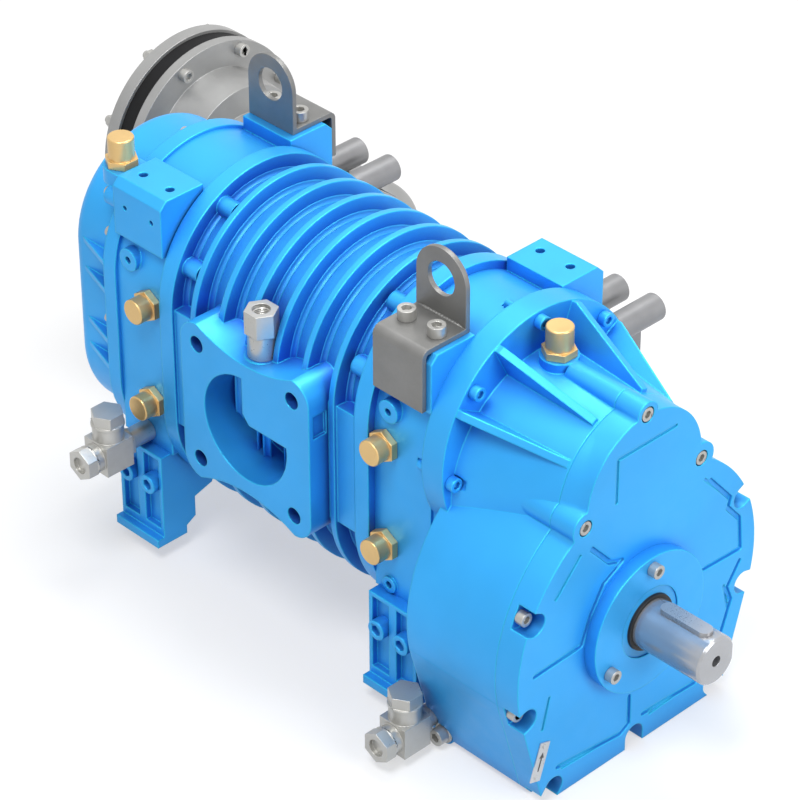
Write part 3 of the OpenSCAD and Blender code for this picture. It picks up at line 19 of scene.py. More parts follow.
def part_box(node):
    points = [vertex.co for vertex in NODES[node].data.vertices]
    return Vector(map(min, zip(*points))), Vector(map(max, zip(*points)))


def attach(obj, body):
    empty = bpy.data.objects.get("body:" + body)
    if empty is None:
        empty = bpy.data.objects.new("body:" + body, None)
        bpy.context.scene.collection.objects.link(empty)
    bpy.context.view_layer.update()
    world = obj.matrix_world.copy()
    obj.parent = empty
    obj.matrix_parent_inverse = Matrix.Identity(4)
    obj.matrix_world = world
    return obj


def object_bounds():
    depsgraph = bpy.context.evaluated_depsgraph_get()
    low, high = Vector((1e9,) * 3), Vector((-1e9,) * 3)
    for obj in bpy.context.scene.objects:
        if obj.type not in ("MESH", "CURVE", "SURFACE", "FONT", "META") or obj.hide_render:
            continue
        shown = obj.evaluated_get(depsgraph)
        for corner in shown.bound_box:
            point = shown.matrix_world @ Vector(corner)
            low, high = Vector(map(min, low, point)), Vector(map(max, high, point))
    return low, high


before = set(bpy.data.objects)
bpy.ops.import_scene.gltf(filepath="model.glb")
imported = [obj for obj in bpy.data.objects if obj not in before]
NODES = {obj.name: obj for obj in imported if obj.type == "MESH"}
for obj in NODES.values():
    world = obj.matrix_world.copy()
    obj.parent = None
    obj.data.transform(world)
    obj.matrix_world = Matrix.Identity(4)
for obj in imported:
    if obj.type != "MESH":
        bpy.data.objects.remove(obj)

bl_info = {
    "name": "Screw Vacuum Pump Finish",
    "version": (1, 0, 0),
    "blender": (4, 5, 0),
    "location": "View3D > Sidebar > Pump",
    "description": "Paints, finishes and lights the screw vacuum pump",
    "category": "Object",
}

CAD_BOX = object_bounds()

# Pieces by finish.
PAINTED = (
    "front_bearing_housing",
    "rear_bearing_housing",
    "gear_case",
    "gear_case_cover",
    "timing_cover",
    "shaft_seal_cover",
    "front_left_foot",
    "front_right_foot",
    "rear_left_foot",
    "rear_right_foot",
)
RIBBED = ("rotor_housing",)
PAINTED_SCREWS = ("ring_flange_screws", "foot_screws")
SHEET_STEEL = ("front_lifting_bracket", "rear_lifting_bracket")
GREY_STEEL = ("front_side_bracket", "rear_side_bracket")
BRASS = ("side_plugs", "front_breather", "rear_breather")
FITTINGS = (
    "suction_connector",
    "front_tee",
    "front_tee_plug",
    "front_tee_nut",
    "rear_tee",
    "rear_tee_plug",
    "rear_tee_nut",
    "side_lug_screw",
)
SCREWS = (
    "gear_cover_screws",
    "seal_cover_screws",
    "timing_cover_screws",
    "bracket_screws",
    "elbow_screws",
    "flange_screws",
)
PIPEWORK = ("discharge_elbow", "counter_flange")
PLATE = ("arrow_plate",)
RUBBER = ("rubber_ring",)
SEAL_CASE = ("shaft_seal",)
SHAFT = ("drive_shaft",)
ROTORS = ("male_rotor", "female_rotor")
GEARS = ("male_timing_gear", "female_timing_gear", "drive_pinion", "bull_gear", "drive_key")
BEARINGS = (
    "male_front_bearing",
    "male_rear_bearing",
    "female_front_bearing",
    "female_rear_bearing",
    "drive_front_bearing",
    "drive_rear_bearing",
)
INNER_IRON = ("bearing_carrier", "bearing_retainer")
INNER_SEALS = ("rotor_seals",)


def centre_of(node):
    """Middle of the box round a CAD node."""
    low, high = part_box(node)
    return (low + high) / 2


ROTOR_MALE_Z = centre_of("male_front_bearing").z
ROTOR_FEMALE_Z = centre_of("female_front_bearing").z
DRIVE_Z = centre_of("shaft_seal_cover").z
PIPE_X = centre_of("counter_flange").x
PIPE_Z = centre_of("counter_flange").z

# Sizes of the castings that the added forms follow, from the CAD model. RIB_LEAN is how far
# a rib's wall leans in for each unit of its height.
BARREL_WALL = 0.093
RIB_COUNT = 6
RIB_PITCH = 0.035
RIB_HALF_ROOT = 0.00485
RIB_LEAN = 2.5 / 23
RING_INNER = 0.115
SHEET = 0.005
BLOCK_TOP = 0.3615
CONNECTOR_BORE = 0.008
SEAL_LIP = 0.0265

# Rib fillets: stops round the barrel, steps of the arc, and how far the back of a fillet lies
# inside the wall, inside the rib at its root and inside the rib at the fillet's top.
BARREL_STEPS = 96
FILLET_STEPS = 6
SINK_WALL = 0.0008
SINK_ROOT = 0.001
SINK_TOP = 0.0016

# Lines of the grooves in the face of the gear case cover, X and Z in millimetres, sides of
# their round ends, and how far the cutter stands out of the face.
COVER_GROOVES = (
    ((-125.8, 129.4), (-71, 131.2), (-61.2, 157.3), (-46.6, 182.7), (-24.2, 194.5)),
    ((-24.2, 194.5), (-39, 200.3), (-61.6, 225.6)),
    ((82.1, 129.9), (127.4, 127.4), (123.9, 161.2), (107.9, 180), (110.4, 189.3), (82.8, 221.6)),
    ((127.5, 113.8), (112.5, 92), (118.9, 76), (108.1, 45.1)),
    ((-8.4, 40.9), (-7.9, 11.4), (-17.7, 6), (-95.4, 14.9)),
    ((78.1, 8.1), (10.4, 11.8)),
)
MM_PER_METRE = 1000
GROOVE_SIDES = 16
CUTTER_RISE = 0.002

# Weld seams: ripples, sides of the bead, its gap from the ends of the bend, its size in a
# valley and the rise of a ripple, its size at the ends and how fast it grows from there.
SEAM_RIPPLES = 16
RIPPLE_STEPS = 6
SEAM_SIDES = 10
SEAM_INSET = 0.004
SEAM_VALLEY = 0.86
SEAM_RIPPLE = 0.14
SEAM_TIP = 0.35
SEAM_GROWTH = 6

# The arrow: its outline before it is tilted by some degrees, its face behind the heads of
# the rivets, and its thickness.
ARROW_OUTLINE = (
    (-0.009, -0.0008),
    (0.004, -0.0008),
    (0.004, -0.0028),
    (0.0095, 0),
    (0.004, 0.0028),
    (0.004, 0.0008),
    (-0.009, 0.0008),
)
ARROW_TILT = -72
ARROW_FACE = 0.0009
ARROW_THICKNESS = 0.0006

# The thread of the connector: its start below the rim, the height of the ridge, its foot in
# the wall and half its width as a share of the pitch.
THREAD_TURNS = 12
THREAD_STEPS = 40
THREAD_START = 0.0025
THREAD_HEIGHT = 0.0009
THREAD_FOOT = 0.0002
THREAD_HALF = 0.46

# Modifiers of softened pieces: gap of the weld, angles in degrees up to which faces count as
# flat and from which an edge is rounded, and faces across a rounded edge.
WELD_GAP = 0.00001
FLAT_ANGLE = 0.3
EDGE_ANGLE = 38
EDGE_FACES = 2

# Most of a noise lies in the wide band, its middle in the narrow one. BOTH_WAYS and OFF_ON
# are the results that such a band is spread over.
NOISE_WIDE = (0.3, 0.7)
NOISE_NARROW = (0.35, 0.65)
BOTH_WAYS = (-1.0, 1.0)
OFF_ON = (0.0, 1.0)
RAY_SAMPLES = 6

# Paint: how far a wall may stand off and still bring painted shade into a recess, the share of
# open sky there and how dark the painted shade gets, how much more on the ribs, and the
# agreement of the rounded normal with the flat one at an edge and how strong the painted
# highlight is there.
RECESS_REACH = 0.032
RECESS_OPEN = (0.2, 0.85)
RECESS_SHADE = (0.85, 0.0)
RECESS_PLAIN = 0.8
RECESS_RIBBED = 1.7
EDGE_TURN = (0.78, 0.99)
EDGE_HIGHLIGHT = (0.8, 0.0)
PAINT_SHADES = (0.90, 1.10)
PAINT_ROUGHNESS = (0.38, 0.48)
PAINT_CLOUDING = 0.6
GRIT_SHARE = 0.25
PAINT_GLOSS = {
    "Metallic": 0.4,
    "Specular IOR Level": 0.3,
    "Coat Weight": 0.06,
    "Coat Roughness": 0.18,
}

# Strength of a bump and the height that it stands for.
PAINT_BUMP = (0.35, 0.00006)
METAL_BUMP = (0.6, 0.00002)
RUBBER_BUMP = (0.5, 0.00008)

# Bare metals: lowest and highest roughness, grains per metre, strength of the stain, and
# stretch of the grain along X, Y and Z.
METAL_FINISHES = {
    "turned_brass": (0.26, 0.42, 700, 0.5, (1, 1, 1)),
    "rolled_sheet": (0.38, 0.52, 500, 0.7, (0.2, 1, 1)),
    "drawn_tube": (0.34, 0.50, 600, 0.6, (0.15, 1, 1)),
    "plated_fitting": (0.24, 0.40, 500, 0.6, (1, 1, 1)),
    "screw_steel": (0.28, 0.42, 900, 0.4, (1, 1, 1)),
    "blasted_steel": (0.36, 0.52, 1400, 0.5, (1, 1, 1)),
    "ground_shaft": (0.12, 0.24, 1600, 0.4, (1, 1, 1)),
    "plate": (0.25, 0.40, 900, 0.4, (1, 1, 1)),
    "milled_rotor": (0.24, 0.40, 800, 0.4, (1, 0.25, 1)),
    "ground_gear": (0.22, 0.38, 900, 0.4, (1, 1, 1)),
    "bearing_steel": (0.10, 0.22, 900, 0.3, (1, 1, 1)),
    "machined_iron": (0.42, 0.60, 500, 0.7, (1, 1, 1)),
}
# Lathe rings on two of them: X and Z of the axis, and rings per metre.
TURNED = {
    "blasted_steel": (PIPE_X, PIPE_Z, 900),
    "ground_shaft": (0, DRIVE_Z, 2600),
}
METAL_SHADES = (0.80, 1.15)
METAL_SHARE = 0.6

# Colours of the plate, its arrow and the inner works, linear.
ALUMINIUM = (0.60, 0.61, 0.62)
ROTOR_STEEL = (0.50, 0.51, 0.53)
GEAR_STEEL = (0.40, 0.40, 0.41)
BEARING_STEEL = (0.66, 0.66, 0.67)
IRON = (0.22, 0.225, 0.235)
CARBON = ((0.03, 0.03, 0.032), (0.07, 0.07, 0.075))
CARBON_ROUGHNESS = (0.35, 0.55)
ENAMEL = ((0.02, 0.02, 0.02), (0.06, 0.06, 0.06))
ENAMEL_ROUGHNESS = (0.35, 0.5)

# Rubber: how much paler its bloom is, where the bloom starts and ends, its roughness and
# gloss, and the roughness of the seal's bare lip and painted case and the width between them.
RUBBER_BLOOM = 1.9
BLOOM_BAND = (0.4, 0.7)
RUBBER_ROUGHNESS = (0.55, 0.75)
RUBBER_GLOSS = 0.2
SEAL_ROUGHNESS = (0.6, 0.45)
SEAL_BLEND = 0.0006

# The camera of the main view: its place, how far it looks down and turns in degrees, and the
# column of the picture, in pixels, that it looks along.
CAMERA_PLACE = (-1.8088, -1.9185, 1.9950)
CAMERA_DOWN = 34.641
CAMERA_TURN = -44.482
CAMERA_COLUMN = 415.3
SENSOR_WIDTH = 36.0
CLIP_START = 0.05
CLIP_END = 60

# Lamps: place and size of the disc.
LAMPS = {
    "key": ((0.55, 0.1, 2.1), 1.0),
    "side": ((-1.15, -0.55, 2.45), 1.1),
    "front": ((0.2, -2.3, 1.3), 1.3),
}

# The floor: its size, gap below the pump and grey, and the distances from the middle between
# which its lift grows to full white.
FLOOR_SIZE = 14
FLOOR_GAP = 0.0005
FLOOR_GREY = 0.46
FLOOR_ROUGHNESS = 0.9
FLOOR_FADE = (0.9, 2.6)
FLOOR_LIFT = (0.54, 1.0)


# Settings that a user would change.


class PumpColours(bpy.types.PropertyGroup):
    """Base colours of the finishes, with the painted highlight and painted shade of the paint,
    linear.
    """

    paint: FloatVectorProperty(
        name="Paint",
        description="Blue paint of the castings",
        subtype="COLOR",
        default=(0.037, 0.43, 0.95),
        min=0,
        max=1,
    )
    # Painted highlight: the lighter colour laid on the edges of the castings in place of light.
    paint_highlight: FloatVectorProperty(
        name="Paint, painted highlight",
        description="Painted highlight that lightens the paint on edges",
        subtype="COLOR",
        default=(0.035, 0.72, 1.0),
        min=0,
        max=1,
    )
    # Painted shade: the darker colour laid in recesses and between the ribs in place of shade.
    paint_shade: FloatVectorProperty(
        name="Paint, painted shade",
        description="Painted shade that darkens the paint in recesses and between the ribs",
        subtype="COLOR",
        default=(0.018, 0.115, 0.50),
        min=0,
        max=1,
    )
    sheet: FloatVectorProperty(
        name="Bracket sheet",
        description="Rolled steel of the lifting brackets",
        subtype="COLOR",
        default=(0.22, 0.22, 0.215),
        min=0,
        max=1,
    )
    tube: FloatVectorProperty(
        name="Side brackets",
        description="Steel of the side brackets and their tubes",
        subtype="COLOR",
        default=(0.27, 0.27, 0.275),
        min=0,
        max=1,
    )
    brass: FloatVectorProperty(
        name="Brass",
        description="Brass of the plugs and breathers",
        subtype="COLOR",
        default=(0.74, 0.50, 0.21),
        min=0,
        max=1,
    )
    fitting: FloatVectorProperty(
        name="Fittings",
        description="Plated steel of the tee fittings and the connector",
        subtype="COLOR",
        default=(0.50, 0.495, 0.47),
        min=0,
        max=1,
    )
    screw: FloatVectorProperty(
        name="Screws",
        description="Steel of the bare screws",
        subtype="COLOR",
        default=(0.46, 0.455, 0.435),
        min=0,
        max=1,
    )
    pipe: FloatVectorProperty(
        name="Discharge pipe",
        description="Blasted steel of the discharge elbow and the counter flange",
        subtype="COLOR",
        default=(0.36, 0.36, 0.355),
        min=0,
        max=1,
    )
    shaft: FloatVectorProperty(
        name="Shaft",
        description="Ground steel of the drive shaft",
        subtype="COLOR",
        default=(0.42, 0.43, 0.45),
        min=0,
        max=1,
    )
    rubber: FloatVectorProperty(
        name="Rubber",
        description="Rubber ring of the discharge and lip of the shaft seal",
        subtype="COLOR",
        default=(0.006, 0.006, 0.0065),
        min=0,
        max=1,
    )


class PumpDetail(bpy.types.PropertyGroup):
    """Sizes of the small forms that the castings and sheets carry."""

    casting_edge: FloatProperty(
        name="Casting edge",
        description="Radius to which the paint shades the edges of the castings",
        default=0.0022,
        min=0.0002,
        max=0.006,
        unit="LENGTH",
        precision=4,
    )
    machined_edge: FloatProperty(
        name="Machined edge",
        description="Rounding of the edges of screws, fittings and sheets",
        default=0.0005,
        min=0.0001,
        max=0.002,
        unit="LENGTH",
        precision=4,
    )
    rib_fillet: FloatProperty(
        name="Rib fillet",
        description="Radius of the fillet at the root of each rib",
        default=0.0045,
        min=0.001,
        max=0.008,
        unit="LENGTH",
        precision=4,
    )
    groove_width: FloatProperty(
        name="Groove width",
        description="Width of the grooves in the gear case cover at the face",
        default=0.0052,
        min=0.002,
        max=0.008,
        unit="LENGTH",
        precision=4,
    )
    groove_depth: FloatProperty(
        name="Groove depth",
        description="Depth of the grooves in the gear case cover",
        default=0.003,
        min=0.0005,
        max=0.004,
        unit="LENGTH",
        precision=4,
    )
    weld: FloatProperty(
        name="Weld seam",
        description="Half width of the weld seams",
        default=0.0022,
        min=0.001,
        max=0.005,
        unit="LENGTH",
        precision=4,
    )
    thread_pitch: FloatProperty(
        name="Thread pitch",
        description="Pitch of the thread in the connector",
        default=0.0018,
        min=0.001,
        max=0.003,
        unit="LENGTH",
        precision=4,
    )
    grain_size: FloatProperty(
        name="Paint grain",
        description="Size of the fine waves in the paint",
        default=0.0016,
        min=0.0005,
        max=0.01,
        unit="LENGTH",
        precision=4,
    )


class PumpStudio(bpy.types.PropertyGroup):
    """Camera and lamps."""

    picture_width: IntProperty(
        name="Picture width",
        description="Width of the picture that the camera is set for",
        default=799,
        min=1,
        subtype="PIXEL",
    )
    lens: FloatProperty(
        name="Lens",
        description="Focal length of the camera",
        default=162.63,
        min=10,
        unit="CAMERA",
    )
    key_power: FloatProperty(
        name="Key lamp",
        description="Power of the lamp above the pump",
        default=26.0,
        min=0,
        unit="POWER",
    )
    side_power: FloatProperty(
        name="Side lamp",
        description="Power of the soft lamp on the suction side",
        default=38.0,
        min=0,
        unit="POWER",
    )
    front_power: FloatProperty(
        name="Front lamp",
        description="Power of the lamp before the shaft",
        default=28.0,
        min=0,
        unit="POWER",
    )
    sky: FloatProperty(
        name="Room light",
        description="Strength of the even light all round",
        default=0.27,
        min=0,
    )


# Shader helpers.


def add_node(tree, kind, place, **settings):
    """A shader node at a place in the node editor, with its settings."""
    node = tree.nodes.new(kind)
    node.location = place
    for key, value in settings.items():
        setattr(node, key, value)
    return node


def give(tree, socket, value):
    """Links an output to a socket, or puts a number or a colour in it."""
    if isinstance(value, bpy.types.NodeSocket):
        tree.links.new(value, socket)
    else:
        socket.default_value = value


def feed(tree, node, values):
    """Gives a node's inputs, by name, their links and values."""
    for key, value in values.items():
        give(tree, node.inputs[key], value)


def object_place(tree):
    """The shaded point in the piece's own coordinates."""
    return add_node(tree, "ShaderNodeTexCoord", (-1300, 0)).outputs["Object"]


def noise(tree, vector, place, scale, detail, rough):
    """Noise between 0 and 1; scale is how many of its cells fit in a metre."""
    node = add_node(tree, "ShaderNodeTexNoise", place)
    feed(tree, node, {"Vector": vector, "Scale": scale, "Detail": detail, "Roughness": rough})
    return node.outputs["Fac"]


def ramp(tree, value, band, result, place):
    """Spreads a band of a value over a result, both as (low, high)."""
    node = add_node(tree, "ShaderNodeMapRange", place)
    keys = ("Value", "From Min", "From Max", "To Min", "To Max")
    feed(tree, node, dict(zip(keys, (value, *band, *result))))
    return node.outputs["Result"]


def math_node(tree, operation, place, *values):
    """A sum on numbers or outputs."""
    node = add_node(tree, "ShaderNodeMath", place, operation=operation)
    for socket, value in zip(node.inputs, values):
        give(tree, socket, value)
    return node.outputs[0]


def mix_colour(tree, factor, a, b, place):
    """Goes from colour a to colour b, in the sockets that the Mix node has for colours."""
    node = add_node(tree, "ShaderNodeMix", place, data_type="RGBA")
    for index, value in zip((0, 6, 7), (factor, a, b)):
        give(tree, node.inputs[index], value)
    return node.outputs[2]


def axis_distance(tree, centre_x, centre_z):
    """Distance of the shaded point from an axis along Y, and its place along that axis."""
    parts = add_node(tree, "ShaderNodeSeparateXYZ", (-1100, 0))
    give(tree, parts.inputs[0], object_place(tree))
    across = math_node(tree, "SUBTRACT", (-950, 100), parts.outputs["X"], centre_x)
    up = math_node(tree, "SUBTRACT", (-950, -100), parts.outputs["Z"], centre_z)
    square = math_node(tree, "MULTIPLY", (-800, 100), across, across)
    square_up = math_node(tree, "MULTIPLY", (-800, -100), up, up)
    total = math_node(tree, "ADD", (-650, 0), square, square_up)
    return math_node(tree, "SQRT", (-500, 0), total), parts.outputs["Y"]


def shaded(tree, colour, value, place):
    """A colour made darker or lighter by a value."""
    tone = add_node(tree, "ShaderNodeHueSaturation", place)
    feed(tree, tone, {"Color": colour, "Value": value})
    return tone.outputs["Color"]


def new_group(name, inputs, outputs):
    """A shader group: inputs as (name, socket kind, default), outputs as (name, kind)."""
    tree = bpy.data.node_groups.new(name, "ShaderNodeTree")
    for label, kind, default in inputs:
        socket = tree.interface.new_socket(label, in_out="INPUT", socket_type=kind)
        socket.default_value = default
    for label, kind in outputs:
        tree.interface.new_socket(label, in_out="OUTPUT", socket_type=kind)
    entry = add_node(tree, "NodeGroupInput", (-900, 0))
    leave = add_node(tree, "NodeGroupOutput", (900, 0))
    return tree, entry.outputs, leave


def paint_group():
    """Sprayed paint: painted highlight on edges, painted shade in recesses, faint clouds of
    tone, fine waves.
    """
    tree, entry, leave = new_group(
        "Sprayed Paint",
        (
            ("Colour", "NodeSocketColor", (0, 0, 1, 1)),
            ("Highlight Colour", "NodeSocketColor", (0, 0, 1, 1)),
            ("Shade Colour", "NodeSocketColor", (0, 0, 0.5, 1)),
            ("Edge", "NodeSocketFloat", 0.0),
            ("Recess", "NodeSocketFloat", 1.0),
            ("Wave Scale", "NodeSocketFloat", 600.0),
            ("Clouding", "NodeSocketFloat", 0.5),
        ),
        (
            ("Colour", "NodeSocketColor"),
            ("Roughness", "NodeSocketFloat"),
            ("Height", "NodeSocketFloat"),
        ),
    )
    place = object_place(tree)
    clouds = noise(tree, place, (-650, 200), scale=7.0, detail=3.0, rough=0.55)
    patches = noise(tree, place, (-650, 0), scale=60.0, detail=4.0, rough=0.6)
    waves = noise(tree, place, (-650, -200), entry["Wave Scale"], detail=2.0, rough=0.5)
    grit = noise(tree, place, (-650, -400), scale=2600.0, detail=1.0, rough=0.5)
    # Painted shade: ambient occlusion darkens the paint towards the shade colour in recesses.
    hollow = add_node(tree, "ShaderNodeAmbientOcclusion", (-650, 600), samples=RAY_SAMPLES)
    hollow.inputs["Distance"].default_value = RECESS_REACH
    closed_in = ramp(tree, hollow.outputs["AO"], RECESS_OPEN, RECESS_SHADE, (-400, 600))
    recess = math_node(tree, "MULTIPLY", (-300, 650), closed_in, entry["Recess"])
    recess.node.use_clamp = True
    cloud = ramp(tree, clouds, NOISE_NARROW, BOTH_WAYS, (-400, 200))
    shade = math_node(tree, "MULTIPLY", (-200, 200), cloud, entry["Clouding"])
    value = ramp(tree, shade, BOTH_WAYS, PAINT_SHADES, (0, 200))
    in_shade = mix_colour(tree, recess, entry["Colour"], entry["Shade Colour"], (-200, 500))
    # Painted highlight: the edge mask lightens the paint towards the highlight colour.
    highlighted = mix_colour(tree, entry["Edge"], in_shade, entry["Highlight Colour"], (0, 450))
    fine = math_node(tree, "MULTIPLY", (-200, -400), grit, GRIT_SHARE)
    feed(
        tree,
        leave,
        {
            "Colour": shaded(tree, highlighted, value, (200, 300)),
            "Roughness": ramp(tree, patches, NOISE_WIDE, PAINT_ROUGHNESS, (0, 0)),
            "Height": math_node(tree, "ADD", (0, -300), waves, fine),
        },
    )
    return tree


def metal_group():
    """Bare metal: cloudy stain, fine scratches and a blasted or drawn grain."""
    tree, entry, leave = new_group(
        "Bare Metal",
        (
            ("Colour", "NodeSocketColor", (0.5, 0.5, 0.5, 1)),
            ("Stretch", "NodeSocketVector", (1.0, 1.0, 1.0)),
            ("Grain Scale", "NodeSocketFloat", 900.0),
            ("Stain", "NodeSocketFloat", 0.5),
            ("Roughness Low", "NodeSocketFloat", 0.25),
            ("Roughness High", "NodeSocketFloat", 0.45),
        ),
        (
            ("Colour", "NodeSocketColor"),
            ("Roughness", "NodeSocketFloat"),
            ("Height", "NodeSocketFloat"),
        ),
    )
    place = object_place(tree)
    drawn = add_node(tree, "ShaderNodeVectorMath", (-750, -200), operation="MULTIPLY")
    give(tree, drawn.inputs[0], place)
    give(tree, drawn.inputs[1], entry["Stretch"])
    clouds = noise(tree, place, (-500, 250), scale=22.0, detail=4.0, rough=0.6)
    grain = noise(
        tree, drawn.outputs[0], (-500, -100), entry["Grain Scale"], detail=3.0, rough=0.6
    )
    stain = ramp(tree, clouds, NOISE_WIDE, BOTH_WAYS, (-300, 250))
    amount = math_node(tree, "MULTIPLY", (-100, 250), stain, entry["Stain"])
    value = ramp(tree, amount, BOTH_WAYS, METAL_SHADES, (100, 250))
    half_clouds = math_node(tree, "MULTIPLY", (-300, 0), clouds, 0.5)
    both = math_node(tree, "MULTIPLY_ADD", (-100, 0), grain, 0.5, half_clouds)
    limits = (entry["Roughness Low"], entry["Roughness High"])
    feed(
        tree,
        leave,
        {
            "Colour": shaded(tree, entry["Colour"], value, (300, 250)),
            "Roughness": ramp(tree, both, NOISE_WIDE, limits, (200, 0)),
            "Height": grain,
        },
    )
    return tree


def turning_group():
    """Rings left by the lathe about an axis along Y."""
    tree, entry, leave = new_group(
        "Turned Rings",
        (
            ("Centre X", "NodeSocketFloat", 0.0),
            ("Centre Z", "NodeSocketFloat", 0.0),
            ("Rings Per Metre", "NodeSocketFloat", 1500.0),
        ),
        (("Height", "NodeSocketFloat"),),
    )
    radius, along = axis_distance(tree, entry["Centre X"], entry["Centre Z"])
    travel = math_node(tree, "ADD", (200, 0), radius, along)
    turns = math_node(tree, "MULTIPLY", (350, 0), travel, entry["Rings Per Metre"])
    wave = add_node(tree, "ShaderNodeTexNoise", (520, 0), noise_dimensions="1D")
    feed(tree, wave, {"W": turns, "Scale": 1.0, "Detail": 2.0})
    give(tree, leave.inputs["Height"], wave.outputs["Fac"])
    return tree


GROUPS = {
    "Sprayed Paint": paint_group,
    "Bare Metal": metal_group,
    "Turned Rings": turning_group,
}


def use_group(tree, name, place, values):
    """Places a shared group, which is built when a material first asks for it."""
    group = bpy.data.node_groups.get(name) or GROUPS[name]()
    node = add_node(tree, "ShaderNodeGroup", place, node_tree=group)
    feed(tree, node, values)
    return node


# Materials.


def new_material(name):
    """A material, its node tree and its shader."""
    material = bpy.data.materials.new(name)
    material.use_nodes = True
    tree = material.node_tree
    return material, tree, tree.nodes["Principled BSDF"]


def bump_to(tree, shader, height, bump):
    """A bump under a shader; bump is its strength and the height that it stands for."""
    strength, distance = bump
    node = add_node(tree, "ShaderNodeBump", (-250, -300))
    feed(tree, node, {"Height": height, "Strength": strength, "Distance": distance})
    give(tree, shader.inputs["Normal"], node.outputs["Normal"])
    return node


def paint_material(name, colours, detail, recess):
    """Blue casting paint with rounded edges; recess is how strong its painted shade is in
    hollows.
    """
    material, tree, shader = new_material(name)
    group = use_group(
        tree,
        "Sprayed Paint",
        (-550, 0),
        {
            "Colour": (*colours.paint, 1),
            "Highlight Colour": (*colours.paint_highlight, 1),
            "Shade Colour": (*colours.paint_shade, 1),
            "Wave Scale": 1 / detail.grain_size,
            "Clouding": PAINT_CLOUDING,
            "Recess": recess,
        },
    )
    give(tree, shader.inputs["Base Color"], group.outputs["Colour"])
    give(tree, shader.inputs["Roughness"], group.outputs["Roughness"])
    feed(tree, shader, PAINT_GLOSS)
    bump = bump_to(tree, shader, group.outputs["Height"], PAINT_BUMP)
    # Where the rounded normal turns from the flat one, the paint gets its painted highlight.
    edge = add_node(tree, "ShaderNodeBevel", (-1300, -500), samples=RAY_SAMPLES)
    edge.inputs["Radius"].default_value = detail.casting_edge
    surface = add_node(tree, "ShaderNodeNewGeometry", (-1300, -300))
    turn = add_node(tree, "ShaderNodeVectorMath", (-1000, -300), operation="DOT_PRODUCT")
    give(tree, turn.inputs[0], edge.outputs["Normal"])
    give(tree, turn.inputs[1], surface.outputs["Normal"])
    rim = ramp(tree, turn.outputs["Value"], EDGE_TURN, EDGE_HIGHLIGHT, (-800, -200))
    give(tree, group.inputs["Edge"], rim)
    give(tree, bump.inputs["Normal"], edge.outputs["Normal"])
    return material


def metal_material(name, colour):
    """A bare metal, with the finish of that name."""
    low, high, grain, stain, stretch = METAL_FINISHES[name]
    material, tree, shader = new_material(name)
    group = use_group(
        tree,
        "Bare Metal",
        (-550, 0),
        {
            "Colour": (*colour, 1),
            "Stretch": stretch,
            "Grain Scale": grain,
            "Stain": stain,
            "Roughness Low": low,
            "Roughness High": high,
        },
    )
    give(tree, shader.inputs["Base Color"], group.outputs["Colour"])
    give(tree, shader.inputs["Roughness"], group.outputs["Roughness"])
    shader.inputs["Metallic"].default_value = METAL_SHARE
    height = group.outputs["Height"]
    if name in TURNED:
        centre_x, centre_z, rings = TURNED[name]
        values = {"Centre X": centre_x, "Centre Z": centre_z, "Rings Per Metre": rings}
        turned = use_group(tree, "Turned Rings", (-550, -350), values)
        height = math_node(tree, "ADD", (-380, -250), height, turned.outputs["Height"])
    bump_to(tree, shader, height, METAL_BUMP)
    return material


def rubber_material(colour):
    """Matte black rubber with a paler bloom in patches and a fine moulded grain."""
    material, tree, shader = new_material("black_rubber")
    place = object_place(tree)
    bloom = noise(tree, place, (-700, 200), scale=30.0, detail=4.0, rough=0.6)
    grain = noise(tree, place, (-700, -200), scale=1400.0, detail=2.0, rough=0.5)
    pale = tuple(min(1.0, c * RUBBER_BLOOM) for c in colour)
    mask = ramp(tree, bloom, BLOOM_BAND, OFF_ON, (-450, 200))
    tone = mix_colour(tree, mask, (*colour, 1), (*pale, 1), (-200, 200))
    give(tree, shader.inputs["Base Color"], tone)
    rough = ramp(tree, bloom, NOISE_WIDE, RUBBER_ROUGHNESS, (-200, 0))
    give(tree, shader.inputs["Roughness"], rough)
    shader.inputs["Specular IOR Level"].default_value = RUBBER_GLOSS
    bump_to(tree, shader, grain, RUBBER_BUMP)
    return material


def seal_material(colours):
    """The shaft seal: a bare black lip inside, and paint on the case round it."""
    material, tree, shader = new_material("painted_seal")
    radius, _ = axis_distance(tree, 0, DRIVE_Z)
    outside = ramp(tree, radius, (SEAL_LIP, SEAL_LIP + SEAL_BLEND), OFF_ON, (-350, 0))
    tone = mix_colour(tree, outside, (*colours.rubber, 1), (*colours.paint, 1), (-150, 100))
    give(tree, shader.inputs["Base Color"], tone)
    rough = ramp(tree, outside, OFF_ON, SEAL_ROUGHNESS, (-150, -100))
    give(tree, shader.inputs["Roughness"], rough)
    return material


def speckled_material(name, shades, scale, roughness):
    """A dull finish speckled between two shades."""
    material, tree, shader = new_material(name)
    grain = noise(tree, object_place(tree), (-600, 0), scale, detail=3.0, rough=0.6)
    dark, light = shades
    tone = mix_colour(tree, grain, (*dark, 1), (*light, 1), (-300, 200))
    give(tree, shader.inputs["Base Color"], tone)
    rough = ramp(tree, grain, NOISE_WIDE, roughness, (-300, 0))
    give(tree, shader.inputs["Roughness"], rough)
    return material


def dress(names, material):
    """Gives CAD nodes one material."""
    for name in names:
        mesh = NODES[name].data
        mesh.materials.clear()
        mesh.materials.append(material)


def soften(names, width):
    """Rounds the sharp edges of CAD nodes with modifiers; the meshes stay as they are."""
    for name in names:
        piece = NODES[name]
        weld = piece.modifiers.new("Weld", "WELD")
        weld.merge_threshold = WELD_GAP
        flat = piece.modifiers.new("Flat faces", "DECIMATE")
        flat.decimate_type = "DISSOLVE"
        flat.angle_limit = math.radians(FLAT_ANGLE)
        edge = piece.modifiers.new("Edge", "BEVEL")
        edge.width = width
        edge.segments = EDGE_FACES
        edge.limit_method = "ANGLE"
        edge.angle_limit = math.radians(EDGE_ANGLE)
        edge.use_clamp_overlap = False
        edge.miter_outer = "MITER_ARC"
        shade = piece.modifiers.new("Shading", "WEIGHTED_NORMAL")
        shade.keep_sharp = False


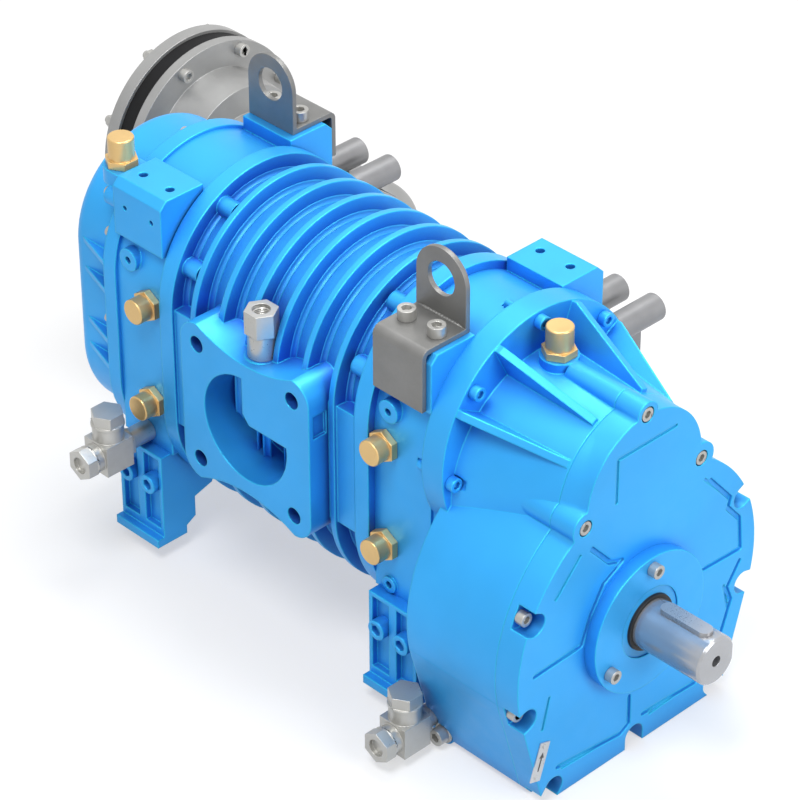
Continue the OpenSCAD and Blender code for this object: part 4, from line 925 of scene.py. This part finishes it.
class PUMP_OT_paint_castings(bpy.types.Operator):
    """Paints the castings and the painted screws blue, with rounded edges, painted highlights on
    them and painted shade in recesses
    """

    bl_idname = "pump.paint_castings"
    bl_label = "Paint Castings"

    def execute(self, context):
        colours = context.scene.pump_colours
        detail = context.scene.pump_detail
        # The ribbed copy of the paint has stronger painted shade between the ribs.
        plain = paint_material("blue_paint", colours, detail, RECESS_PLAIN)
        ribbed = paint_material("blue_paint_ribs", colours, detail, RECESS_RIBBED)
        dress(PAINTED + PAINTED_SCREWS, plain)
        dress(RIBBED, ribbed)
        soften(PAINTED_SCREWS, detail.machined_edge)
        return {"FINISHED"}


class PUMP_OT_finish_metals(bpy.types.Operator):
    """Gives brass, steel and plated pieces their bare metal finishes"""

    bl_idname = "pump.finish_metals"
    bl_label = "Finish Metals"

    def execute(self, context):
        colours = context.scene.pump_colours
        for names, finish, colour in (
            (BRASS, "turned_brass", colours.brass),
            (SHEET_STEEL, "rolled_sheet", colours.sheet),
            (GREY_STEEL, "drawn_tube", colours.tube),
            (FITTINGS, "plated_fitting", colours.fitting),
            (SCREWS, "screw_steel", colours.screw),
            (PIPEWORK, "blasted_steel", colours.pipe),
            (SHAFT, "ground_shaft", colours.shaft),
        ):
            dress(names, metal_material(finish, colour))
            soften(names, context.scene.pump_detail.machined_edge)
        dress(PLATE, metal_material("plate", ALUMINIUM))
        return {"FINISHED"}


class PUMP_OT_finish_rubber(bpy.types.Operator):
    """Gives the rubber ring and the shaft seal a matte moulded finish"""

    bl_idname = "pump.finish_rubber"
    bl_label = "Finish Rubber"

    def execute(self, context):
        colours = context.scene.pump_colours
        dress(RUBBER, rubber_material(colours.rubber))
        dress(SEAL_CASE, seal_material(colours))
        soften(RUBBER + SEAL_CASE, context.scene.pump_detail.machined_edge)
        return {"FINISHED"}


class PUMP_OT_finish_works(bpy.types.Operator):
    """Finishes the rotors, gears, bearings, seals and inner iron"""

    bl_idname = "pump.finish_works"
    bl_label = "Finish Inner Works"

    def execute(self, context):
        for names, finish, colour in (
            (ROTORS, "milled_rotor", ROTOR_STEEL),
            (GEARS, "ground_gear", GEAR_STEEL),
            (BEARINGS, "bearing_steel", BEARING_STEEL),
            (INNER_IRON, "machined_iron", IRON),
        ):
            dress(names, metal_material(finish, colour))
        dress(INNER_SEALS, speckled_material("seal_carbon", CARBON, 900.0, CARBON_ROUGHNESS))
        return {"FINISHED"}


# Forms that are added to the CAD model.


def full_turn(count):
    """Angles of a full turn in equal steps."""
    return [2 * math.pi * k / count for k in range(count)]


def skin(sections, closed_section=True, closed_run=False, flip=False):
    """Vertices of equal sections, and the faces from each section to the next.

    A closed section joins its last point to its first, a closed run its last section to the
    first, and flip turns the faces over.
    """
    count = len(sections[0])
    total = len(sections)
    faces = []
    for s in range(total if closed_run else total - 1):
        here = s * count
        there = (s + 1) % total * count
        for k in range(count if closed_section else count - 1):
            n = (k + 1) % count
            sides = (there + k, here + n) if flip else (here + n, there + k)
            faces.append((here + k, sides[0], there + n, sides[1]))
    return [point for section in sections for point in section], faces


def closed_solid(outlines):
    """Vertices and faces of a solid through equal outlines, closed at both ends."""
    vertices, walls = skin(outlines, flip=True)
    count = len(outlines[0])
    end = len(vertices)
    return vertices, [tuple(range(count)), tuple(reversed(range(end - count, end))), *walls]


def add_shape(vertices, faces, shape):
    """Adds a shape's vertices and faces to the lists of one mesh."""
    start = len(vertices)
    vertices.extend(shape[0])
    faces.extend(tuple(start + i for i in face) for face in shape[1])


def mesh_object(name, vertices, faces):
    """An object in the scene, with a mesh of the same name."""
    mesh = bpy.data.meshes.new(name)
    mesh.from_pydata([tuple(v) for v in vertices], [], faces)
    mesh.validate()
    piece = bpy.data.objects.new(name, mesh)
    bpy.context.scene.collection.objects.link(piece)
    return piece


def new_piece(name, slot, material, vertices, faces, smooth=True):
    """A mesh piece of the pump that stands still with the castings."""
    piece = mesh_object(name, vertices, faces)
    mesh = piece.data
    mesh.polygons.foreach_set("use_smooth", [smooth] * len(mesh.polygons))
    mesh.materials.append(material)
    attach(piece, "pump")


def barrel_path(steps):
    """Stops round the two-lobed barrel: the height of the lobe's centre, and the angle."""
    half = steps // 2
    return [
        (centre_z, start + math.pi * k / half)
        for centre_z, start in ((ROTOR_MALE_Z, 0), (ROTOR_FEMALE_Z, math.pi))
        for k in range(half + 1)
    ]


def root_fillet(y, side, radius, slope):
    """Section of a hollow fillet, as (radius, Y), at a rib wall that leans by slope."""
    centre_y = y + side * (radius - slope * radius)
    arc = [
        (
            BARREL_WALL + radius - radius * math.cos(a),
            centre_y - side * radius * math.sin(a),
        )
        for a in (math.pi / 2 * k / FILLET_STEPS for k in range(FILLET_STEPS + 1))
    ]
    return [
        (BARREL_WALL - SINK_WALL, y - side * SINK_ROOT),
        (BARREL_WALL - SINK_WALL, centre_y),
        *arc,
        (BARREL_WALL + radius, y - side * SINK_TOP),
    ]


class PUMP_OT_rib_fillets(bpy.types.Operator):
    """Runs a cast fillet along both roots of every rib and along the end rings"""

    bl_idname = "pump.rib_fillets"
    bl_label = "Rib Fillets"

    def execute(self, context):
        radius = context.scene.pump_detail.rib_fillet
        roots = []
        for k in range(RIB_COUNT):
            y = (k - (RIB_COUNT - 1) / 2) * RIB_PITCH
            roots += [(y + RIB_HALF_ROOT, 1, RIB_LEAN), (y - RIB_HALF_ROOT, -1, RIB_LEAN)]
        roots += [(RING_INNER, -1, 0.0), (-RING_INNER, 1, 0.0)]
        path = barrel_path(BARREL_STEPS)
        vertices, faces = [], []
        for y, side, slope in roots:
            section = root_fillet(y, side, radius, slope)
            if side < 0:
                section.reverse()
            rings = [
                [(r * math.cos(a), at, z + r * math.sin(a)) for r, at in section]
                for z, a in path
            ]
            add_shape(vertices, faces, skin(rings, closed_run=True))
        paint = bpy.data.materials["blue_paint_ribs"]
        new_piece("rib_fillets", "blue_paint", paint, vertices, faces)
        return {"FINISHED"}


def groove_shapes(start, end, levels):
    """Solids that cut a straight groove with round ends; levels as (Y, half width)."""
    run = (end - start).normalized()
    across = Vector((-run.z, 0, run.x))
    ends = [
        [
            [
                Vector((at.x + half * math.cos(a), y, at.z + half * math.sin(a)))
                for a in full_turn(GROOVE_SIDES)
            ]
            for y, half in levels
        ]
        for at in (start, end)
    ]
    middle = [
        [
            Vector((at.x + s * half * across.x, y, at.z + s * half * across.z))
            for at, s in ((start, -1), (end, -1), (end, 1), (start, 1))
        ]
        for y, half in levels
    ]
    return [closed_solid(outlines) for outlines in (*ends, middle)]


class PUMP_OT_cover_grooves(bpy.types.Operator):
    """Cuts the cast grooves into the face of the gear case cover"""

    bl_idname = "pump.cover_grooves"
    bl_label = "Cover Grooves"

    def execute(self, context):
        detail = context.scene.pump_detail
        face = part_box("gear_case_cover")[0].y
        mouth = detail.groove_width / 2
        bottom = detail.groove_width / 3
        levels = (
            (face - CUTTER_RISE, mouth),
            (face, mouth),
            (face + detail.groove_depth, bottom),
        )
        vertices, faces = [], []
        for line in COVER_GROOVES:
            for (x0, z0), (x1, z1) in zip(line, line[1:]):
                start = Vector((x0, 0, z0)) / MM_PER_METRE
                end = Vector((x1, 0, z1)) / MM_PER_METRE
                for shape in groove_shapes(start, end, levels):
                    add_shape(vertices, faces, shape)
        cutter = mesh_object("groove_cutter", vertices, faces)
        cutter.hide_render = True
        cutter.hide_viewport = True
        cut = NODES["gear_case_cover"].modifiers.new("Cast grooves", "BOOLEAN")
        cut.operation = "DIFFERENCE"
        cut.solver = "EXACT"
        cut.use_self = True
        cut.object = cutter
        return {"FINISHED"}


def weld_bead(start, end, out, half_width):
    """A rippled bead from start to end that swells towards out."""
    across = (end - start).normalized().cross(out)
    steps = SEAM_RIPPLES * RIPPLE_STEPS
    rings = []
    for k in range(steps + 1):
        share = k / steps
        middle = start.lerp(end, share)
        swell = SEAM_VALLEY + SEAM_RIPPLE * abs(math.sin(math.pi * SEAM_RIPPLES * share))
        fade = min(1.0, SEAM_TIP + SEAM_GROWTH * min(share, 1 - share))
        size = half_width * swell * fade
        rings.append(
            [
                middle + across * (size * math.cos(a)) + out * (size * math.sin(a))
                for a in full_turn(SEAM_SIDES)
            ]
        )
    vertices, faces = skin(rings)
    faces.append(tuple(reversed(range(SEAM_SIDES))))
    faces.append(tuple(range(steps * SEAM_SIDES, len(vertices))))
    return vertices, faces


class PUMP_OT_weld_seams(bpy.types.Operator):
    """Lays weld seams at the roots of the lifting eyes"""

    bl_idname = "pump.weld_seams"
    bl_label = "Weld Seams"

    def execute(self, context):
        half = context.scene.pump_detail.weld
        sheet = bpy.data.materials["rolled_sheet"]
        z = BLOCK_TOP + SHEET
        for name, side in (("front_lifting_bracket", -1), ("rear_lifting_bracket", 1)):
            low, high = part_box(name)
            x = (high.x if side < 0 else low.x) + side * SHEET
            start = Vector((x, low.y + SEAM_INSET, z))
            end = Vector((x, high.y - SEAM_INSET, z))
            out = Vector((side, 0, 1)).normalized()
            bead = weld_bead(start, end, out, half)
            new_piece(name.replace("bracket", "seam"), "sheet_steel", sheet, *bead)
        return {"FINISHED"}


class PUMP_OT_arrow_mark(bpy.types.Operator):
    """Puts a raised arrow for the turning direction on the bare plate"""

    bl_idname = "pump.arrow_mark"
    bl_label = "Arrow Mark"

    def execute(self, context):
        middle = centre_of("arrow_plate")
        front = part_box("arrow_plate")[0].y + ARROW_FACE
        tilt = Matrix.Rotation(math.radians(ARROW_TILT), 4, "Y")
        outline = [tilt @ Vector((x, 0, z)) for x, z in ARROW_OUTLINE]
        vertices, faces = closed_solid(
            [
                [(middle.x + at.x, y, middle.z + at.z) for at in outline]
                for y in (front, front + ARROW_THICKNESS)
            ]
        )
        enamel = speckled_material("arrow_enamel", ENAMEL, 700.0, ENAMEL_ROUGHNESS)
        new_piece("arrow_mark", "plate_aluminium", enamel, vertices, faces, smooth=False)
        return {"FINISHED"}


class PUMP_OT_connector_thread(bpy.types.Operator):
    """Winds the ridge of a thread round the bore of the suction connector"""

    bl_idname = "pump.connector_thread"
    bl_label = "Connector Thread"

    def execute(self, context):
        pitch = context.scene.pump_detail.thread_pitch
        middle = centre_of("suction_connector")
        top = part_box("suction_connector")[1].z - THREAD_START
        foot = CONNECTOR_BORE + THREAD_FOOT
        last = THREAD_TURNS * THREAD_STEPS
        rings = []
        for k in range(last + 1):
            angle = 2 * math.pi * k / THREAD_STEPS
            z = top - pitch * k / THREAD_STEPS
            height = THREAD_HEIGHT * min(1.0, k / THREAD_STEPS, (last - k) / THREAD_STEPS)
            rings.append(
                [
                    (middle.x + r * math.cos(angle), middle.y + r * math.sin(angle), z + up)
                    for r, up in (
                        (foot, -pitch * THREAD_HALF),
                        (CONNECTOR_BORE - height, 0.0),
                        (foot, pitch * THREAD_HALF),
                    )
                ]
            )
        vertices, faces = skin(rings, closed_section=False, flip=True)
        steel = bpy.data.materials["plated_fitting"]
        new_piece("connector_thread", "fitting_steel", steel, vertices, faces, smooth=False)
        return {"FINISHED"}


# The stage.


def seen_rays(tree):
    """1 for rays from the camera, from gloss and through glass, else 0."""
    rays = add_node(tree, "ShaderNodeLightPath", (-900, 0)).outputs
    first = math_node(
        tree, "MAXIMUM", (-650, 0), rays["Is Camera Ray"], rays["Is Glossy Ray"]
    )
    return math_node(tree, "MAXIMUM", (-450, 0), first, rays["Is Transmission Ray"])


def floor_material():
    """A matt grey floor that is lifted to white far from the pump."""
    material, tree, shader = new_material("studio_floor")
    surface = add_node(tree, "ShaderNodeNewGeometry", (-900, -300))
    away = add_node(tree, "ShaderNodeVectorMath", (-650, -300), operation="LENGTH")
    give(tree, away.inputs[0], surface.outputs["Position"])
    fade = ramp(tree, away.outputs["Value"], FLOOR_FADE, FLOOR_LIFT, (-450, -300))
    feed(
        tree,
        shader,
        {
            "Base Color": (FLOOR_GREY, FLOOR_GREY, FLOOR_GREY, 1),
            "Roughness": FLOOR_ROUGHNESS,
            "Specular IOR Level": 0.0,
            "Emission Color": (1, 1, 1, 1),
            "Emission Strength": math_node(tree, "MULTIPLY", (-250, 0), seen_rays(tree), fade),
        },
    )
    return material


def room_light(strength):
    """White all round to the eye, and an even light of that strength on the pump."""
    world = bpy.data.worlds.new("room")
    world.use_nodes = True
    tree = world.node_tree
    level = ramp(tree, seen_rays(tree), OFF_ON, (strength, 1.0), (-250, 0))
    feed(tree, tree.nodes["Background"], {"Color": (1, 1, 1, 1), "Strength": level})
    return world


def lamp(name, place, size, power):
    """An area lamp that looks at the middle of the pump."""
    light = bpy.data.lights.new(name, "AREA")
    light.shape = "DISK"
    light.size = size
    light.energy = power
    piece = bpy.data.objects.new(name, light)
    piece.location = place
    aim = (CAD_BOX[0] + CAD_BOX[1]) / 2 - Vector(place)
    piece.rotation_euler = aim.to_track_quat("-Z", "Y").to_euler()
    bpy.context.scene.collection.objects.link(piece)


class PUMP_OT_stage(bpy.types.Operator):
    """Sets the floor, the camera, the lamps and the room light"""

    bl_idname = "pump.stage"
    bl_label = "Set Stage"

    def execute(self, context):
        studio = context.scene.pump_studio
        scene = context.scene
        floor_z = CAD_BOX[0].z - FLOOR_GAP
        bpy.ops.mesh.primitive_plane_add(size=FLOOR_SIZE, location=(0, 0, floor_z))
        floor = context.object
        floor.name = "floor"
        floor.data.materials.append(floor_material())

        camera = bpy.data.cameras.new("camera")
        camera.lens = studio.lens
        camera.sensor_width = SENSOR_WIDTH
        width = studio.picture_width
        camera.shift_x = (width / 2 - CAMERA_COLUMN) / width
        camera.clip_start = CLIP_START
        camera.clip_end = CLIP_END
        eye = bpy.data.objects.new("camera", camera)
        eye.location = CAMERA_PLACE
        eye.rotation_euler = (math.radians(90 - CAMERA_DOWN), 0, math.radians(CAMERA_TURN))
        scene.collection.objects.link(eye)
        scene.camera = eye

        for name, power in (
            ("key", studio.key_power),
            ("side", studio.side_power),
            ("front", studio.front_power),
        ):
            lamp(name, *LAMPS[name], power)
        scene.world = room_light(studio.sky)
        scene.view_settings.view_transform = "Standard"
        return {"FINISHED"}


OPERATORS = (
    PUMP_OT_paint_castings,
    PUMP_OT_finish_metals,
    PUMP_OT_finish_rubber,
    PUMP_OT_finish_works,
    PUMP_OT_rib_fillets,
    PUMP_OT_cover_grooves,
    PUMP_OT_weld_seams,
    PUMP_OT_arrow_mark,
    PUMP_OT_connector_thread,
    PUMP_OT_stage,
)


class PUMP_PT_panel(bpy.types.Panel):
    """Lists the steps that finish and light the pump"""

    bl_idname = "PUMP_PT_panel"
    bl_label = "Vacuum Pump"
    bl_space_type = "VIEW_3D"
    bl_region_type = "UI"
    bl_category = "Pump"

    def draw(self, context):
        for step in OPERATORS:
            self.layout.operator(step.bl_idname)
        for group in (
            context.scene.pump_colours,
            context.scene.pump_detail,
            context.scene.pump_studio,
        ):
            box = self.layout.box()
            for key in group.bl_rna.properties.keys():
                if key not in {"rna_type", "name"}:
                    box.prop(group, key)


CLASSES = (PumpColours, PumpDetail, PumpStudio, *OPERATORS, PUMP_PT_panel)


def register():
    for cls in CLASSES:
        bpy.utils.register_class(cls)
    bpy.types.Scene.pump_colours = PointerProperty(type=PumpColours)
    bpy.types.Scene.pump_detail = PointerProperty(type=PumpDetail)
    bpy.types.Scene.pump_studio = PointerProperty(type=PumpStudio)


def unregister():
    del bpy.types.Scene.pump_studio
    del bpy.types.Scene.pump_detail
    del bpy.types.Scene.pump_colours
    for cls in reversed(CLASSES):
        bpy.utils.unregister_class(cls)


def main():
    register()
    bpy.ops.pump.paint_castings()
    bpy.ops.pump.finish_metals()
    bpy.ops.pump.finish_rubber()
    bpy.ops.pump.finish_works()
    bpy.ops.pump.rib_fillets()
    bpy.ops.pump.cover_grooves()
    bpy.ops.pump.weld_seams()
    bpy.ops.pump.arrow_mark()
    bpy.ops.pump.connector_thread()
    bpy.ops.pump.stage()


if __name__ == "__main__":
    main()
